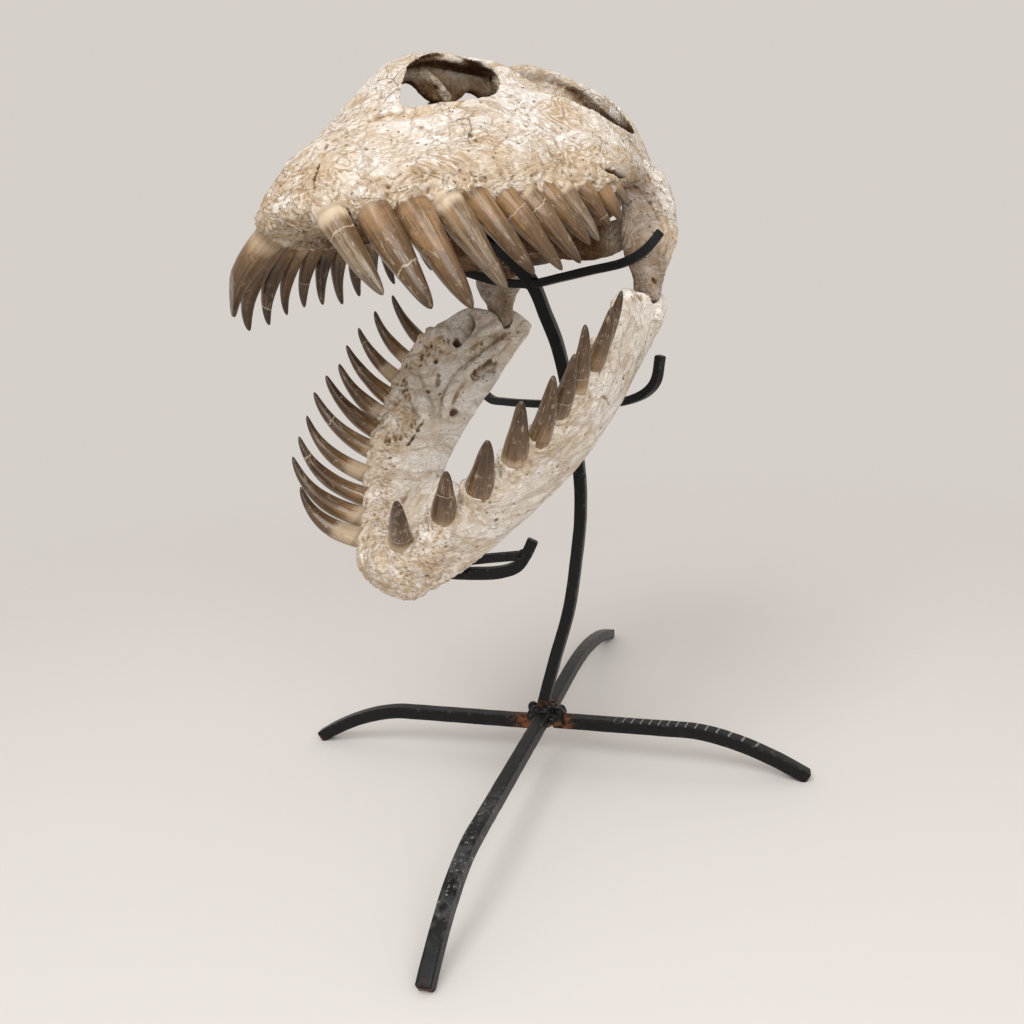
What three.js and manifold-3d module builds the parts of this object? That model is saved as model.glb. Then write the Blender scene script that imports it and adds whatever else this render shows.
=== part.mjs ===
// A fossil plesiosaur skull, jaws wide open, carried by a forged bar stand. Life size, millimetres, +Z up.
// The origin is on the floor under the crossing of the legs. The snout points along -Y, and the skull's left
// is +X.
import * as THREE from 'three';
import { mergeVertices } from 'three/addons/utils/BufferGeometryUtils.js';
import Module from 'manifold-3d';

const wasm = await Module();
wasm.setup();

// ---- Driving dimensions -------------------------------------------------------------------------------

const gap = 0.3;                    // clearance kept between two pieces that touch
const jawAxis = [-5, 42, 363];      // midpoint between the two jaw joints
const skullTurn = 8;                // degrees that the snout swings towards the left
const skullTilt = -6.5;             // degrees of tilt, left side up
const skullNod = 5;                 // degrees that the snout dips
const jawTilt = -3.5;
const jawNod = 50;                  // degrees that the lower jaw hangs open

const legBar = 10;                  // square bar of the legs
const postBar = 9;                  // square bar of the post, its faces turned flush with the legs
const chinBar = 8;                  // square bar of the chin cradle
const lightBar = 6;                 // square bar of the upper cradle, jaw arms, spine and brace
const hubHeight = 38;               // height of the weld where the legs and the post meet
const hubSize = [13, 14, 11];       // half-width, half-length and half-height of the weld
const hubForward = -4;              // place of its middle along Y
const footDip = 2;                  // how far a leg's end runs under the floor before it is ground flat

// Cranium sections from the back of the skull to the snout: distance forward of the jaw axis, half-width at
// the gum line, height of the roof, height of the gum line, and the exponent of the domed section.
const craniumRows = [
  [-67, 20, 122, 98, 2.0],
  [-62, 44, 137, 86, 1.9],
  [-46, 72, 149, 77, 1.8],
  [-20, 93, 166, 74, 1.7],
  [10, 104, 176, 74, 1.7],
  [40, 107, 176, 76, 1.65],
  [70, 102, 181, 79, 1.65],
  [100, 97, 185, 80, 1.7],
  [125, 91, 178, 81, 1.7],
  [150, 83, 161, 81, 1.65],
  [176, 72, 141, 82, 1.7],
  [200, 58, 127, 84, 1.8],
  [216, 43, 114, 86, 1.9],
  [227, 28, 103, 89, 2.0],
  [232, 12, 98, 92, 2.0],
];
const gumRidge = 8;                 // depth of the tooth-bearing ridge under the gum line
const palateVault = 20;             // rise of the palate between the two ridges
const fullVaultWidth = 60;          // a narrower snout has a lower vault than this half-width has
const wallThickness = 11;           // cheek walls
const roofThickness = 9;
const hollowBack = -52;             // the hollow behind the eyes starts here and ends in the snout's root
const hollowFront = 162;
const hollowBackTaper = 20;         // over this length its back end opens out, and its front end narrows
const hollowFrontTaper = 30;
const hollowEndShare = 0.35;        // width and height of its ends, as a share of the full section

// Braincase and crest: distance forward, half-width at the crest, half-width at the base, floor height.
const braincaseRows = [
  [-64, 9, 13, 88],
  [-50, 10, 22, 66],
  [-25, 9, 27, 58],
  [5, 8, 26, 55],
  [28, 8, 21, 60],
  [42, 7, 12, 84],
];

const crestShoulder = 6;            // the crest reaches its full width this far under the roof line
const crestDepth = 26;              // and starts to widen to the base this far under it
const braincaseWidest = 96;         // height at which the braincase is widest
const condyleRadius = 13;           // knob that the neck turned on, a little longer than high
const condyleCentre = [-64, 0, 88];
const condyleShape = [1.1, 1, 0.9];

// Rear palate: distance forward, half-width, underside at the midline, underside of the side flanges, top.
const palateRows = [
  [-42, 15, 62, 66, 89],
  [-25, 24, 46, 50, 90],
  [0, 32, 38, 39, 90],
  [22, 42, 36, 38, 90],
  [42, 48, 42, 40, 92],
  [62, 53, 66, 42, 100],
  [84, 53, 80, 50, 100],
  [104, 48, 88, 66, 100],
  [122, 38, 90, 84, 100],
];

const troughShare = 0.85;           // the flanges hang lowest at this share of the half-width

// Bar of bone from the palate to the quadrate: distance forward, out and up, half-length, half-thickness.
const wingRows = [
  [24, 24, 48, 10, 12],
  [14, 45, 42, 5.5, 11.3],
  [4, 67, 42.5, 5.5, 10.7],
  [-6, 88, 50, 10, 10],
];

// Quadrate: height, distance forward, half-length, distance out, half-thickness.
const quadrateRows = [
  [84, -6, 20, 86, 7],
  [70, -9, 26, 89, 8],
  [56, -10, 29, 90, 9],
  [42, -10, 28, 90, 9.5],
  [28, -10, 22, 90, 10.5],
  [14, -6, 13, 90, 13],
  [4, -3, 9, 90, 16],
  [-5, -2, 4, 90, 14],
];

// Half of the lower jaw, from its back end to the chin: distance forward, distance out and height of the
// upper edge, then the same three of the lower edge, and the half-thickness. The two sides differ in depth:
// the last value is the height of the lower edge on the right.
const jawRows = [
  [-14, 84, -4, -14, 80, -12, 5, -25],
  [-6, 88, 4, -6, 84, -14, 9, -27],
  [8, 91, 27, 6, 86, -16, 10, -27],
  [28, 102, 36, 26, 84, -21, 9, -22],
  [55, 114, 44, 52, 79, -25, 10, -18],
  [90, 116, 45, 88, 76, -24, 11, -13],
  [126, 106, 45, 124, 68, -20, 12, -6],
  [156, 90, 46, 156, 56, -15, 13, -1],
  [182, 70, 47, 186, 43, -10, 14, 0],
  [206, 48, 48, 212, 31, -3, 15, 0],
  [226, 29, 51, 234, 20, 5, 16, 5],
  [238, 10, 54, 247, 7, 9, 17, 9],
];
const chinRow = [242, 0, 55, 252, 0, 10, 18];

// Cup of the lower jaw under the quadrate: distance forward, out and up, half-length, half-width.
const hingeCupRows = [
  [2, 90, -18, 10, 9],
  [2, 90, -10.5, 10.5, 12],
  [2, 90, -3, 11, 15],
];

// Floor of the chin between the two rami: distance forward, half-width, centre height, half-thickness.
const chinFloorRows = [
  [170, 12, 24, 7],
  [182, 42, 20, 11],
  [204, 42, 20, 15],
  [224, 28, 24, 18],
  [240, 12, 28, 18],
];

// Tooth rows. Each lists where its sockets are, how far the crowns stand out, and their thickness. The lean
// goes from the first to the last value along the row: outward, and forward of the socket.
const toothRows = {
  upperLeft: {
    side: 1,
    sockets: [210, 190, 170, 150, 133, 116, 101, 87, 75, 60, 46, 31],
    crowns: [54, 65, 68, 60, 54, 54, 51, 40, 38, 30, 26, 15],
    radii: [10, 12, 12, 11, 9.5, 9, 8.5, 8, 7.5, 7, 6.5, 4.5],
    lean: [32, 2],
    sweep: [-5, -27, -9],
  },
  upperRight: {
    side: -1,
    sockets: [214, 201, 187, 174, 162, 150, 137, 122, 107, 92, 76, 58, 40],
    crowns: [56, 60, 52, 46, 42, 42, 44, 40, 38, 34, 30, 26, 18],
    radii: [12, 10, 8.5, 7.5, 7.5, 7.5, 8, 8, 8, 7, 6.5, 6, 5],
    lean: [36, 4],
    sweep: [26, 2, -8],
  },
  lowerLeft: {
    side: 1,
    sockets: [229, 204, 181, 157, 138, 121, 104, 84, 70],
    crowns: [36, 32, 29, 33, 28, 26, 32, 22, 20],
    radii: [8, 9, 10, 9.5, 8.5, 8, 7.5, 7, 6],
    lean: [30, 22],
    sweep: [-14, -26, -26],
  },
  lowerRight: {
    side: -1,
    sockets: [228, 212, 196, 178, 158, 141, 126, 109, 91, 72, 54],
    crowns: [44, 58, 58, 56, 56, 52, 46, 47, 45, 41, 38],
    radii: [10, 10, 9.5, 9, 9, 9, 8.5, 8, 7.5, 7.5, 7],
    lean: [40, 14],
    sweep: [-8, -16, -18],
  },
};
const toothRootDepth = 9;
const toothSides = 5;
const toothBow = 0.1;               // how far a crown bows outward at mid-length, as a share of its length
const toothTipShare = 0.09;         // thickness of the blunt tip, as a share of the thickness at the root
const toothFlatness = 0.9;          // thickness across the row, as a share of the thickness along it
const toothStations = [0, 0.45, 0.8, 1];

// Cuts between the bones. Each is a plane across the skull: where it crosses the gum, and its slope, which
// follows the lean of the teeth on both sides of it.
const cuts = {
  snoutLeft: { forward: 180, slope: 0.07 },
  snoutRight: { forward: 180.5, slope: -0.33 },
  cheekLeft: { forward: 67.5, slope: 0.35 },
  cheekRight: { forward: 67, slope: 0.2 },
  chinLeft: { forward: 192.5, slope: -0.6 },
  chinRight: { forward: 187, slope: -0.2 },
};
const roofCut = 153;                // the skull roof starts at this height
const palateCut = 40;               // the palate's half-width, between the upper jaws
const braincaseCut = 28;
const quadrateTop = 63;
const quadrateFront = 21;
const quadrateInner = 57;           // the hinge bones' pieces start this far out
const hingeCut = 20;                // the jaw's hinge bones end this far forward of the joint
const wide = 400;                   // beyond every edge of the piece

const bone = { color: 0xe6dcc8, roughness: 0.78, metalness: 0 };
const paleBone = { color: 0xece6da, roughness: 0.75, metalness: 0 };
const innerBone = { color: 0xa98a63, roughness: 0.85, metalness: 0 };
const blackPaint = { color: 0x1a1a1b, roughness: 0.42, metalness: 0.55 };
const weldPaint = { color: 0x24201d, roughness: 0.6, metalness: 0.5 };

// ---- Solids and surfaces ------------------------------------------------------------------------------

/** Turns a closed geometry into a solid, facing outward. */
function solid(geometry) {
  const bare = geometry.index ? geometry.toNonIndexed() : geometry.clone();
  bare.deleteAttribute('normal');
  bare.deleteAttribute('uv');
  const merged = mergeVertices(bare, 1e-4);
  const points = merged.getAttribute('position').array;
  const corners = Uint32Array.from(merged.index.array);
  if (signedVolume(points, corners) < 0) {
    corners.reverse();
  }
  return new wasm.Manifold(new wasm.Mesh({
    numProp: 3,
    vertProperties: Float32Array.from(points),
    triVerts: corners,
  }));
}

function signedVolume(points, corners) {
  const corner = (k) => new THREE.Vector3().fromArray(points, 3 * corners[k]);
  let volume = 0;
  for (let k = 0; k < corners.length; k += 3) {
    volume += corner(k).dot(corner(k + 1).cross(corner(k + 2))) / 6;
  }
  return volume;
}

/** Turns a solid back into a geometry. */
function geometryOf(body) {
  const mesh = body.getMesh();
  const geometry = new THREE.BufferGeometry();
  geometry.setAttribute('position', new THREE.BufferAttribute(Float32Array.from(mesh.vertProperties), 3));
  geometry.setIndex(new THREE.BufferAttribute(Uint32Array.from(mesh.triVerts), 1));
  geometry.computeVertexNormals();
  return geometry;
}

/** A closed surface through rings of equally many points, fanned shut at both ends. */
function loft(rings) {
  const around = rings[0].length;
  const points = rings.flat();
  const corners = [];
  for (let r = 0; r + 1 < rings.length; r += 1) {
    for (let i = 0; i < around; i += 1) {
      const a = r * around + i;
      const b = r * around + (i + 1) % around;
      corners.push(a, b, b + around, a, b + around, a + around);
    }
  }
  const addFan = (ring, start, flip) => {
    const middle = ring.reduce((sum, p) => sum.add(p), new THREE.Vector3()).divideScalar(around);
    const tip = points.push(middle) - 1;
    for (let i = 0; i < around; i += 1) {
      const pair = [start + i, start + (i + 1) % around];
      corners.push(tip, ...(flip ? pair.reverse() : pair));
    }
  };
  addFan(rings[0], 0, true);
  addFan(rings[rings.length - 1], (rings.length - 1) * around, false);
  const geometry = new THREE.BufferGeometry().setFromPoints(points);
  geometry.setIndex(corners);
  return solid(geometry);
}

/** A point given by its distance forward, to the left and up. */
const at = (forward, left, up) => new THREE.Vector3(left, -forward, up);

/** Smooth interpolation of a table of rows: t runs from 0 at the first row to 1 at the last. */
function rowAt(rows, t) {
  const place = THREE.MathUtils.clamp(t, 0, 1) * (rows.length - 1);
  const k = Math.min(Math.floor(place), rows.length - 2);
  const f = place - k;
  const before = rows[Math.max(k - 1, 0)];
  const after = rows[Math.min(k + 2, rows.length - 1)];
  return rows[k].map((from, c) => {
    const to = rows[k + 1][c];
    const slopeIn = (to - before[c]) / 2;
    const slopeOut = (after[c] - from) / 2;
    const rise = 3 * (to - from) - 2 * slopeIn - slopeOut;
    const bend = 2 * (from - to) + slopeIn + slopeOut;
    return from + f * (slopeIn + f * (rise + f * bend));
  });
}

/** Where along a table its first column reaches a value. */
function whereForward(rows, forward) {
  let low = 0;
  let high = 1;
  for (let step = 0; step < 30; step += 1) {
    const middle = (low + high) / 2;
    if (rowAt(rows, middle)[0] < forward) {
      low = middle;
    } else {
      high = middle;
    }
  }
  return low;
}

/** Evenly spaced values from one number to another, both ends included. */
const steps = (from, to, count) => Array.from({ length: count + 1 }, (_, i) => from + (to - from) * i / count);

const signedPower = (value, power) => Math.sign(value) * Math.abs(value) ** power;

/** A rounded box ring: a superellipse in the plane of two vectors about a centre. */
function ovalRing(centre, across, upward, sides, exponent) {
  return steps(0, 2 * Math.PI, sides).slice(0, sides).map((angle) => centre.clone()
    .addScaledVector(across, signedPower(Math.cos(angle), 2 / exponent))
    .addScaledVector(upward, signedPower(Math.sin(angle), 2 / exponent)));
}

/** A block between two distances forward, left and up, sheared forward by a slope per unit of height. */
function block(forward, left, up, slope = 0, pivot = 0) {
  const box = new THREE.BoxGeometry(left[1] - left[0], forward[1] - forward[0], up[1] - up[0]);
  box.translate((left[0] + left[1]) / 2, -(forward[0] + forward[1]) / 2, (up[0] + up[1]) / 2 - pivot);
  box.applyMatrix4(new THREE.Matrix4().makeShear(0, 0, 0, 0, 0, -slope));
  box.translate(0, 0, pivot);
  return solid(box);
}

/** Joins a list of solids into one. */
const join = (bodies) => bodies.reduce((sum, body) => sum.add(body));

// ---- Cranium ------------------------------------------------------------------------------------------

/** One section of the dome: a superellipse above the gum line, and the ridged and vaulted palate below. */
function domeRing([forward, halfWidth, roof, gum, exponent]) {
  const upper = steps(0, Math.PI, 10).map((angle) => at(
    forward,
    halfWidth * signedPower(Math.cos(angle), 2 / exponent),
    gum + (roof - gum) * Math.abs(Math.sin(angle)) ** (2 / exponent),
  ));
  const lower = steps(-1, 1, 6).slice(1, 6).map((share) => {
    const inside = Math.max(1 - share * share, 0);
    const vault = palateVault * Math.min(halfWidth / fullVaultWidth, 1) * inside * inside;
    return at(forward, halfWidth * share, gum - gumRidge * Math.sqrt(inside) + vault);
  });
  return [...upper, ...lower];
}

const dome = loft(steps(0, 1, 17).map((t) => domeRing(rowAt(craniumRows, t))));

/** The hollow under the roof, from behind the braincase to the root of the snout. */
function hollowRing(forward) {
  const [, halfWidth, roof, gum, exponent] = rowAt(craniumRows, whereForward(craniumRows, forward));
  const floor = gum + palateVault - 2;
  const toFront = (hollowFront - forward) / hollowFrontTaper;
  const toBack = (forward - hollowBack) / hollowBackTaper;
  const nearEnd = Math.min(toFront, toBack, 1);
  const share = Math.max(Math.sqrt(Math.max(nearEnd, 0)), hollowEndShare);
  return steps(0, Math.PI, 6).map((angle) => at(
    forward,
    (halfWidth - wallThickness) * share * signedPower(Math.cos(angle), 2 / exponent),
    floor + (roof - roofThickness - floor) * share * Math.abs(Math.sin(angle)) ** (2 / exponent),
  ));
}

const hollow = loft(steps(hollowBack, hollowFront, 7).map(hollowRing));

/** A column through the roof or the floor: the same plan outline at two heights. */
function shaft(outline, [bottom, top], side) {
  const shape = new THREE.Shape(outline.map(([forward, left]) => new THREE.Vector2(side * left, -forward)));
  const column = new THREE.ExtrudeGeometry(shape, { depth: top - bottom, bevelEnabled: false });
  column.translate(0, 0, bottom);
  return solid(column);
}

/** Smooths a short closed outline with a curve through its points. */
function smoothOutline(points, count) {
  const curve = new THREE.CatmullRomCurve3(points.map(([a, b]) => new THREE.Vector3(a, b, 0)), true);
  return curve.getPoints(count).slice(0, count).map((p) => [p.x, p.y]);
}

// Plan of the opening above the jaw muscles, between the crest and the cheek bar.
const fenestra = smoothOutline([
  [44, 15], [56, 34], [52, 58], [24, 84], [-6, 88], [-30, 68], [-42, 40], [-34, 17],
], 10);
// Plan of the passage for the jaw muscles, from that opening down past the palate.
const musclePassage = smoothOutline([
  [26, 46], [34, 66], [22, 86], [-8, 80], [-32, 60], [-40, 40], [-20, 34],
], 8);
// Side outline of the eye socket.
const eyeSocket = smoothOutline([
  [148, 140], [122, 138], [96, 140], [78, 153], [66, 168], [76, 177], [100, 179], [124, 170], [141, 152],
], 11);
// Rear openings between the braincase and the hinge bones, seen from behind.
const rearOpening = smoothOutline([
  [34, 66], [68, 64], [74, 84], [64, 106], [40, 112], [28, 92],
], 7);

// How far each opening's cutter runs: up, up, out from the midline, and forward of the jaw joint.
const fenestraHeights = [96, 220];
const passageHeights = [20, 110];
const eyeSocketReach = [19, 110];
const rearOpeningReach = [-90, -30];

/** A passage that runs sideways through the cheek, from its side outline. */
function sideways(outline, [from, to], side) {
  const ring = (left) => outline.map(([forward, up]) => at(forward, side * left, up));
  return loft([ring(from), ring(to)]);
}

/** A passage that runs lengthwise, from its outline seen from behind. */
function lengthwise(outline, [from, to], side) {
  const ring = (forward) => outline.map(([left, up]) => at(forward, side * left, up));
  return loft([ring(from), ring(to)]);
}

/** Braincase and sagittal crest: a wall under the roof line that widens downward. */
function braincaseRing([forward, crest, base, floor]) {
  const [, , roof] = rowAt(craniumRows, whereForward(craniumRows, forward));
  const side = (left, up) => at(forward, left, up);
  const half = [
    [crest / 2, roof - 0.5],
    [crest, roof - crestShoulder],
    [crest + 3, roof - crestDepth],
    [base, braincaseWidest],
    [base * 0.8, floor],
  ];
  return [
    ...half.map(([left, up]) => side(left, Math.max(up, floor))),
    ...half.reverse().map(([left, up]) => side(-left, Math.max(up, floor))),
  ];
}

const braincase = loft(steps(0, 1, 8).map((t) => braincaseRing(rowAt(braincaseRows, t))));

/** The knob at the back of the braincase that the neck turned on. */
function condyle() {
  const knob = new THREE.SphereGeometry(condyleRadius, 7, 5);
  const [forward, left, up] = condyleCentre;
  const [width, length, height] = condyleShape;
  knob.scale(width, length, height);
  knob.translate(left, -forward, up);
  return solid(knob);
}

/** Rear palate: flat above, with a shallow trough between two hanging flanges below. */
function palateRing([forward, halfWidth, middle, flange, top]) {
  const under = steps(-1, 1, 8).map((share) => {
    const dip = Math.sin(Math.PI * Math.min(Math.abs(share) / troughShare, 1) / 2) ** 2;
    const lift = Math.max(Math.abs(share) - troughShare, 0) / (1 - troughShare);
    const edge = middle + (flange - middle) * dip;
    return at(forward, halfWidth * share, edge + (top - edge) * 0.5 * lift);
  });
  const upper = [0.92, -0.92].map((share) => at(forward, halfWidth * share, top));
  return [...under, ...upper];
}

const rearPalate = loft(steps(0, 1, 8).map((t) => palateRing(rowAt(palateRows, t))));

/** The bar of bone from the palate out to the hinge bone. */
function palateWing(side) {
  return loft(wingRows.map(([forward, out, up, halfLength, halfThickness]) => (
    ovalRing(at(forward, side * out, up), at(halfLength, 0, 0), at(0, 0, halfThickness), 6, 2.2)
  )));
}

/** The hinge bone that hangs from the back of the cheek; grow thickens it by a clearance. */
function quadrate(side, grow = 0) {
  const rings = steps(0, 1, 6).map((t) => {
    const [up, forward, halfLength, out, halfThickness] = rowAt(quadrateRows, t);
    const lowest = t === 1 ? grow : 0;
    return ovalRing(
      at(forward, side * out, up - lowest),
      at(halfLength + grow, 0, 0),
      at(0, side * (halfThickness + grow), 0),
      8,
      2.4,
    );
  });
  return loft(rings);
}

// ---- Teeth --------------------------------------------------------------------------------------------

/** A bowed cone from below its socket to its tip. */
function tooth(socket, reach, outward, radius) {
  const root = socket.clone().addScaledVector(reach.clone().normalize(), -toothRootDepth);
  const tip = socket.clone().add(reach);
  const bow = outward.clone().multiplyScalar(toothBow * reach.length());
  const middle = root.clone().lerp(tip, 0.5).add(bow);
  const spine = new THREE.QuadraticBezierCurve3(root, middle, tip);
  const axis = reach.clone().normalize();
  const across = new THREE.Vector3().crossVectors(axis, outward).normalize();
  const through = new THREE.Vector3().crossVectors(across, axis).normalize();
  const rings = toothStations.map((t) => {
    const thickness = radius * Math.max((1 - t ** 2.2) ** 0.9, toothTipShare);
    return ovalRing(
      spine.getPoint(t),
      across.clone().multiplyScalar(thickness),
      through.clone().multiplyScalar(thickness * toothFlatness),
      toothSides,
      2,
    );
  });
  return loft(rings);
}

/** A whole row of teeth: rows of the upper jaw hang, rows of the lower jaw stand. */
function teeth(row, socketAt, upward) {
  const last = row.sockets.length - 1;
  return join(row.sockets.map((forward, i) => {
    const share = i / last;
    const lean = THREE.MathUtils.lerp(row.lean[0], row.lean[1], share ** 0.9);
    const [first, halfway, end] = row.sweep;
    const sweep = share < 0.5
      ? THREE.MathUtils.lerp(first, halfway, 2 * share)
      : THREE.MathUtils.lerp(halfway, end, 2 * share - 1);
    const reach = at(sweep, row.side * lean, upward * row.crowns[i]);
    const outward = at(0.7 - 0.6 * share, row.side * (0.6 + 0.4 * share), 0).normalize();
    return tooth(socketAt(forward, row.side), reach, outward, row.radii[i]);
  }));
}

function upperSocket(forward, side) {
  const [, halfWidth, , gum] = rowAt(craniumRows, whereForward(craniumRows, forward));
  return at(forward, side * (halfWidth - 8), gum - 2);
}

function lowerSocket(forward, side) {
  const [, out, up] = rowAt(jawRows, whereForward(jawRows, forward));
  return at(forward, side * (out - 2), up - 3);
}

// ---- Lower jaw ----------------------------------------------------------------------------------------

/** The whole jaw rim as one bar bent round the chin, from the left end to the right end. */
function jawRim() {
  const left = jawRows.map((row) => row.slice(0, chinRow.length));
  const right = jawRows.map(([forward, out, up, lowForward, lowOut, , halfThickness, lowRight]) => (
    [forward, -out, up, lowForward, -lowOut, lowRight, halfThickness]
  )).reverse();
  const rows = [...left, chinRow, ...right];
  const ring = (t) => {
    const [forward, out, up, lowForward, lowOut, lowUp, halfThickness] = rowAt(rows, t);
    const next = rowAt(rows, Math.min(t + 0.005, 1));
    const last = rowAt(rows, Math.max(t - 0.005, 0));
    const along = at(next[0] - last[0], next[1] - last[1], 0).normalize();
    const across = new THREE.Vector3(along.y, -along.x, 0).multiplyScalar(halfThickness);
    const top = at(forward, out, up);
    const low = at(lowForward, lowOut, lowUp);
    const half = top.clone().sub(low).multiplyScalar(0.5);
    return ovalRing(top.add(low).multiplyScalar(0.5), across, half, 8, 2.5);
  };
  return loft(steps(0, 1, 28).map(ring));
}

const chinFloor = loft(steps(0, 1, 6).map((t) => {
  const [forward, halfWidth, height, halfThickness] = rowAt(chinFloorRows, t);
  return ovalRing(at(forward, 0, height), at(0, halfWidth, 0), at(0, 0, halfThickness), 8, 2.4);
}));

/** The cup behind the knob of the lower jaw, under the hinge bone. */
function hingeCup(side) {
  return loft(hingeCupRows.map(([forward, out, up, halfLength, halfWidth]) => (
    ovalRing(at(forward, side * out, up), at(halfLength, 0, 0), at(0, side * halfWidth, 0), 8, 2.4)
  )));
}

// ---- Stand --------------------------------------------------------------------------------------------

/**
 * A square bar along a smooth line through a few points. grow thickens it by a clearance, and turn spins
 * its section, in degrees.
 */
function bar({ line, width, count, turn = 0 }, grow = 0) {
  const curve = new THREE.CatmullRomCurve3(line.map((p) => new THREE.Vector3(...p)), false, 'centripetal');
  const reach = (width / 2 + grow) * Math.SQRT2;
  const square = new THREE.Shape([45, 135, 225, 315].map((corner) => {
    const angle = THREE.MathUtils.degToRad(corner + turn);
    return new THREE.Vector2(reach * Math.cos(angle), reach * Math.sin(angle));
  }));
  return new THREE.ExtrudeGeometry(square, { steps: count, extrudePath: curve, bevelEnabled: false });
}

const post = {
  line: [[0, -6, 38], [0, -2, 51], [0, 10.5, 85], [0, 25, 123], [0, 34, 164], [0, 39.5, 200], [0, 40, 232],
    [0, 32, 300], [0, 23.5, 338], [0, 14.5, 360], [0, 5, 382], [0, -14, 403], [0, -36, 418], [0, -61, 427]],
  width: postBar,
  count: 16,
  turn: 45,
};
const upperCradle = {
  line: [[-103, -28, 417], [-94, -23, 402], [-62, -14, 392], [-32, -5, 385], [0, 3, 382.5], [30, 10, 386],
    [60, 16, 390], [85, 28, 394.5], [97, 36, 401.5], [104, 44, 413]],
  width: lightBar,
  count: 16,
};
const jawArm = {
  line: [[-112, 12, 312], [-108, 13, 296], [-96, 15, 288], [-76, 18, 287], [0, 30, 290], [40, 36, 293],
    [72, 40, 299], [88, 43, 306], [96, 44, 314], [100, 45, 331]],
  width: lightBar,
  count: 16,
};
const chinCradle = {
  line: [[66, -43, 208], [63, -47, 198], [59, -52, 189.5], [52, -61, 185], [38, -80, 184], [22, -92, 184],
    [4, -99, 186], [-14, -102, 188], [-26, -101, 193]],
  width: chinBar,
  count: 11,
};
const spineLine = [[0, 34, 262], [8, -20, 222], [18, -62, 198], [24, -88, 186]];
const spine = { line: spineLine, width: lightBar, count: 4 };
const brace = { line: [[61, -49, 197], [34, -92, 194]], width: lightBar, count: 1 };

const postRoom = solid(bar(post, gap));
const chinCradleRoom = solid(bar(chinCradle, gap));
const upperCradleBody = solid(bar(upperCradle)).subtract(postRoom);
const jawArmBody = solid(bar(jawArm)).subtract(postRoom);

/** A leg: level from the hub for part of its reach, then bent down onto the floor and cut flat there. */
function leg({ heading, reach, height, level, bend }) {
  const angle = THREE.MathUtils.degToRad(heading);
  const straight = level * reach;
  const slope = Math.atan(bend * height / (reach - straight));
  const drop = height + footDip - legBar / 2 * Math.cos(slope);
  const line = steps(0, 1, 10).map((t) => {
    const out = t * reach;
    const past = Math.max(out - straight, 0) / (reach - straight);
    return [out * Math.cos(angle), out * Math.sin(angle), height - drop * past ** bend];
  });
  const aboveFloor = solid(new THREE.BoxGeometry(2 * wide, 2 * wide, wide).translate(0, 0, wide / 2));
  return solid(bar({ line, width: legBar, count: 8 })).intersect(aboveFloor);
}

/** The lump of weld where the legs and the post meet. */
function hubShape(grow) {
  const lump = new THREE.SphereGeometry(1, 8, 6);
  const [halfWidth, halfLength, halfHeight] = hubSize;
  lump.scale(halfWidth + grow, halfLength + grow, halfHeight + grow);
  lump.translate(0, hubForward, hubHeight);
  return solid(lump);
}

// ---- Assembly -----------------------------------------------------------------------------------------

const part = new THREE.Group();
const degrees = THREE.MathUtils.degToRad;

/** A group at the jaw axis, turned, tilted and nodding. */
function headGroup(tilt, nod) {
  const group = new THREE.Group();
  group.position.set(...jawAxis);
  group.rotation.set(degrees(nod), degrees(tilt), degrees(skullTurn), 'ZYX');
  group.updateMatrixWorld();
  return group;
}

const skull = headGroup(skullTilt, skullNod);
const jaw = headGroup(jawTilt, jawNod);
part.add(skull, jaw);

/** Adds one named piece to a group. */
function place(group, name, body, finish) {
  const mesh = new THREE.Mesh(geometryOf(body), new THREE.MeshStandardMaterial(finish));
  mesh.name = name;
  group.add(mesh);
}

/** Takes the stand's bars out of a bone, so that they only rest on each other. */
function clearOfStand(group, body) {
  const intoGroup = group.matrixWorld.clone().invert();
  const bars = [post, upperCradle, jawArm, chinCradle, spine, brace];
  return bars.reduce((rest, piece) => {
    const room = bar(piece, gap).applyMatrix4(intoGroup);
    return rest.subtract(solid(room));
  }, body);
}

const gumHeight = 80;
const rimHeight = 45;

const openings = [1, -1].flatMap((side) => [
  shaft(fenestra, fenestraHeights, side),
  shaft(musclePassage, passageHeights, side),
  sideways(eyeSocket, eyeSocketReach, side),
  lengthwise(rearOpening, rearOpeningReach, side),
]);
const shell = openings.reduce((rest, opening) => rest.subtract(opening), dome.subtract(hollow));
const cranium = clearOfStand(skull, join([
  shell,
  braincase,
  condyle(),
  rearPalate,
  palateWing(1),
  palateWing(-1),
  quadrate(1),
  quadrate(-1),
  teeth(toothRows.upperLeft, upperSocket, -1),
  teeth(toothRows.upperRight, upperSocket, -1),
]));

/** Everything on one side of the midline that is ahead of a cut, or behind it. */
function ahead(cut, side, pivot) {
  const from = cut.forward + gap / 2;
  return block([from, from + wide], side > 0 ? [0, wide] : [-wide, 0], [-wide, wide], cut.slope, pivot);
}

function behind(cut, side, pivot) {
  const to = cut.forward - gap / 2;
  return block([to - wide, to], side > 0 ? [0, wide] : [-wide, 0], [-wide, wide], cut.slope, pivot);
}

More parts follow.
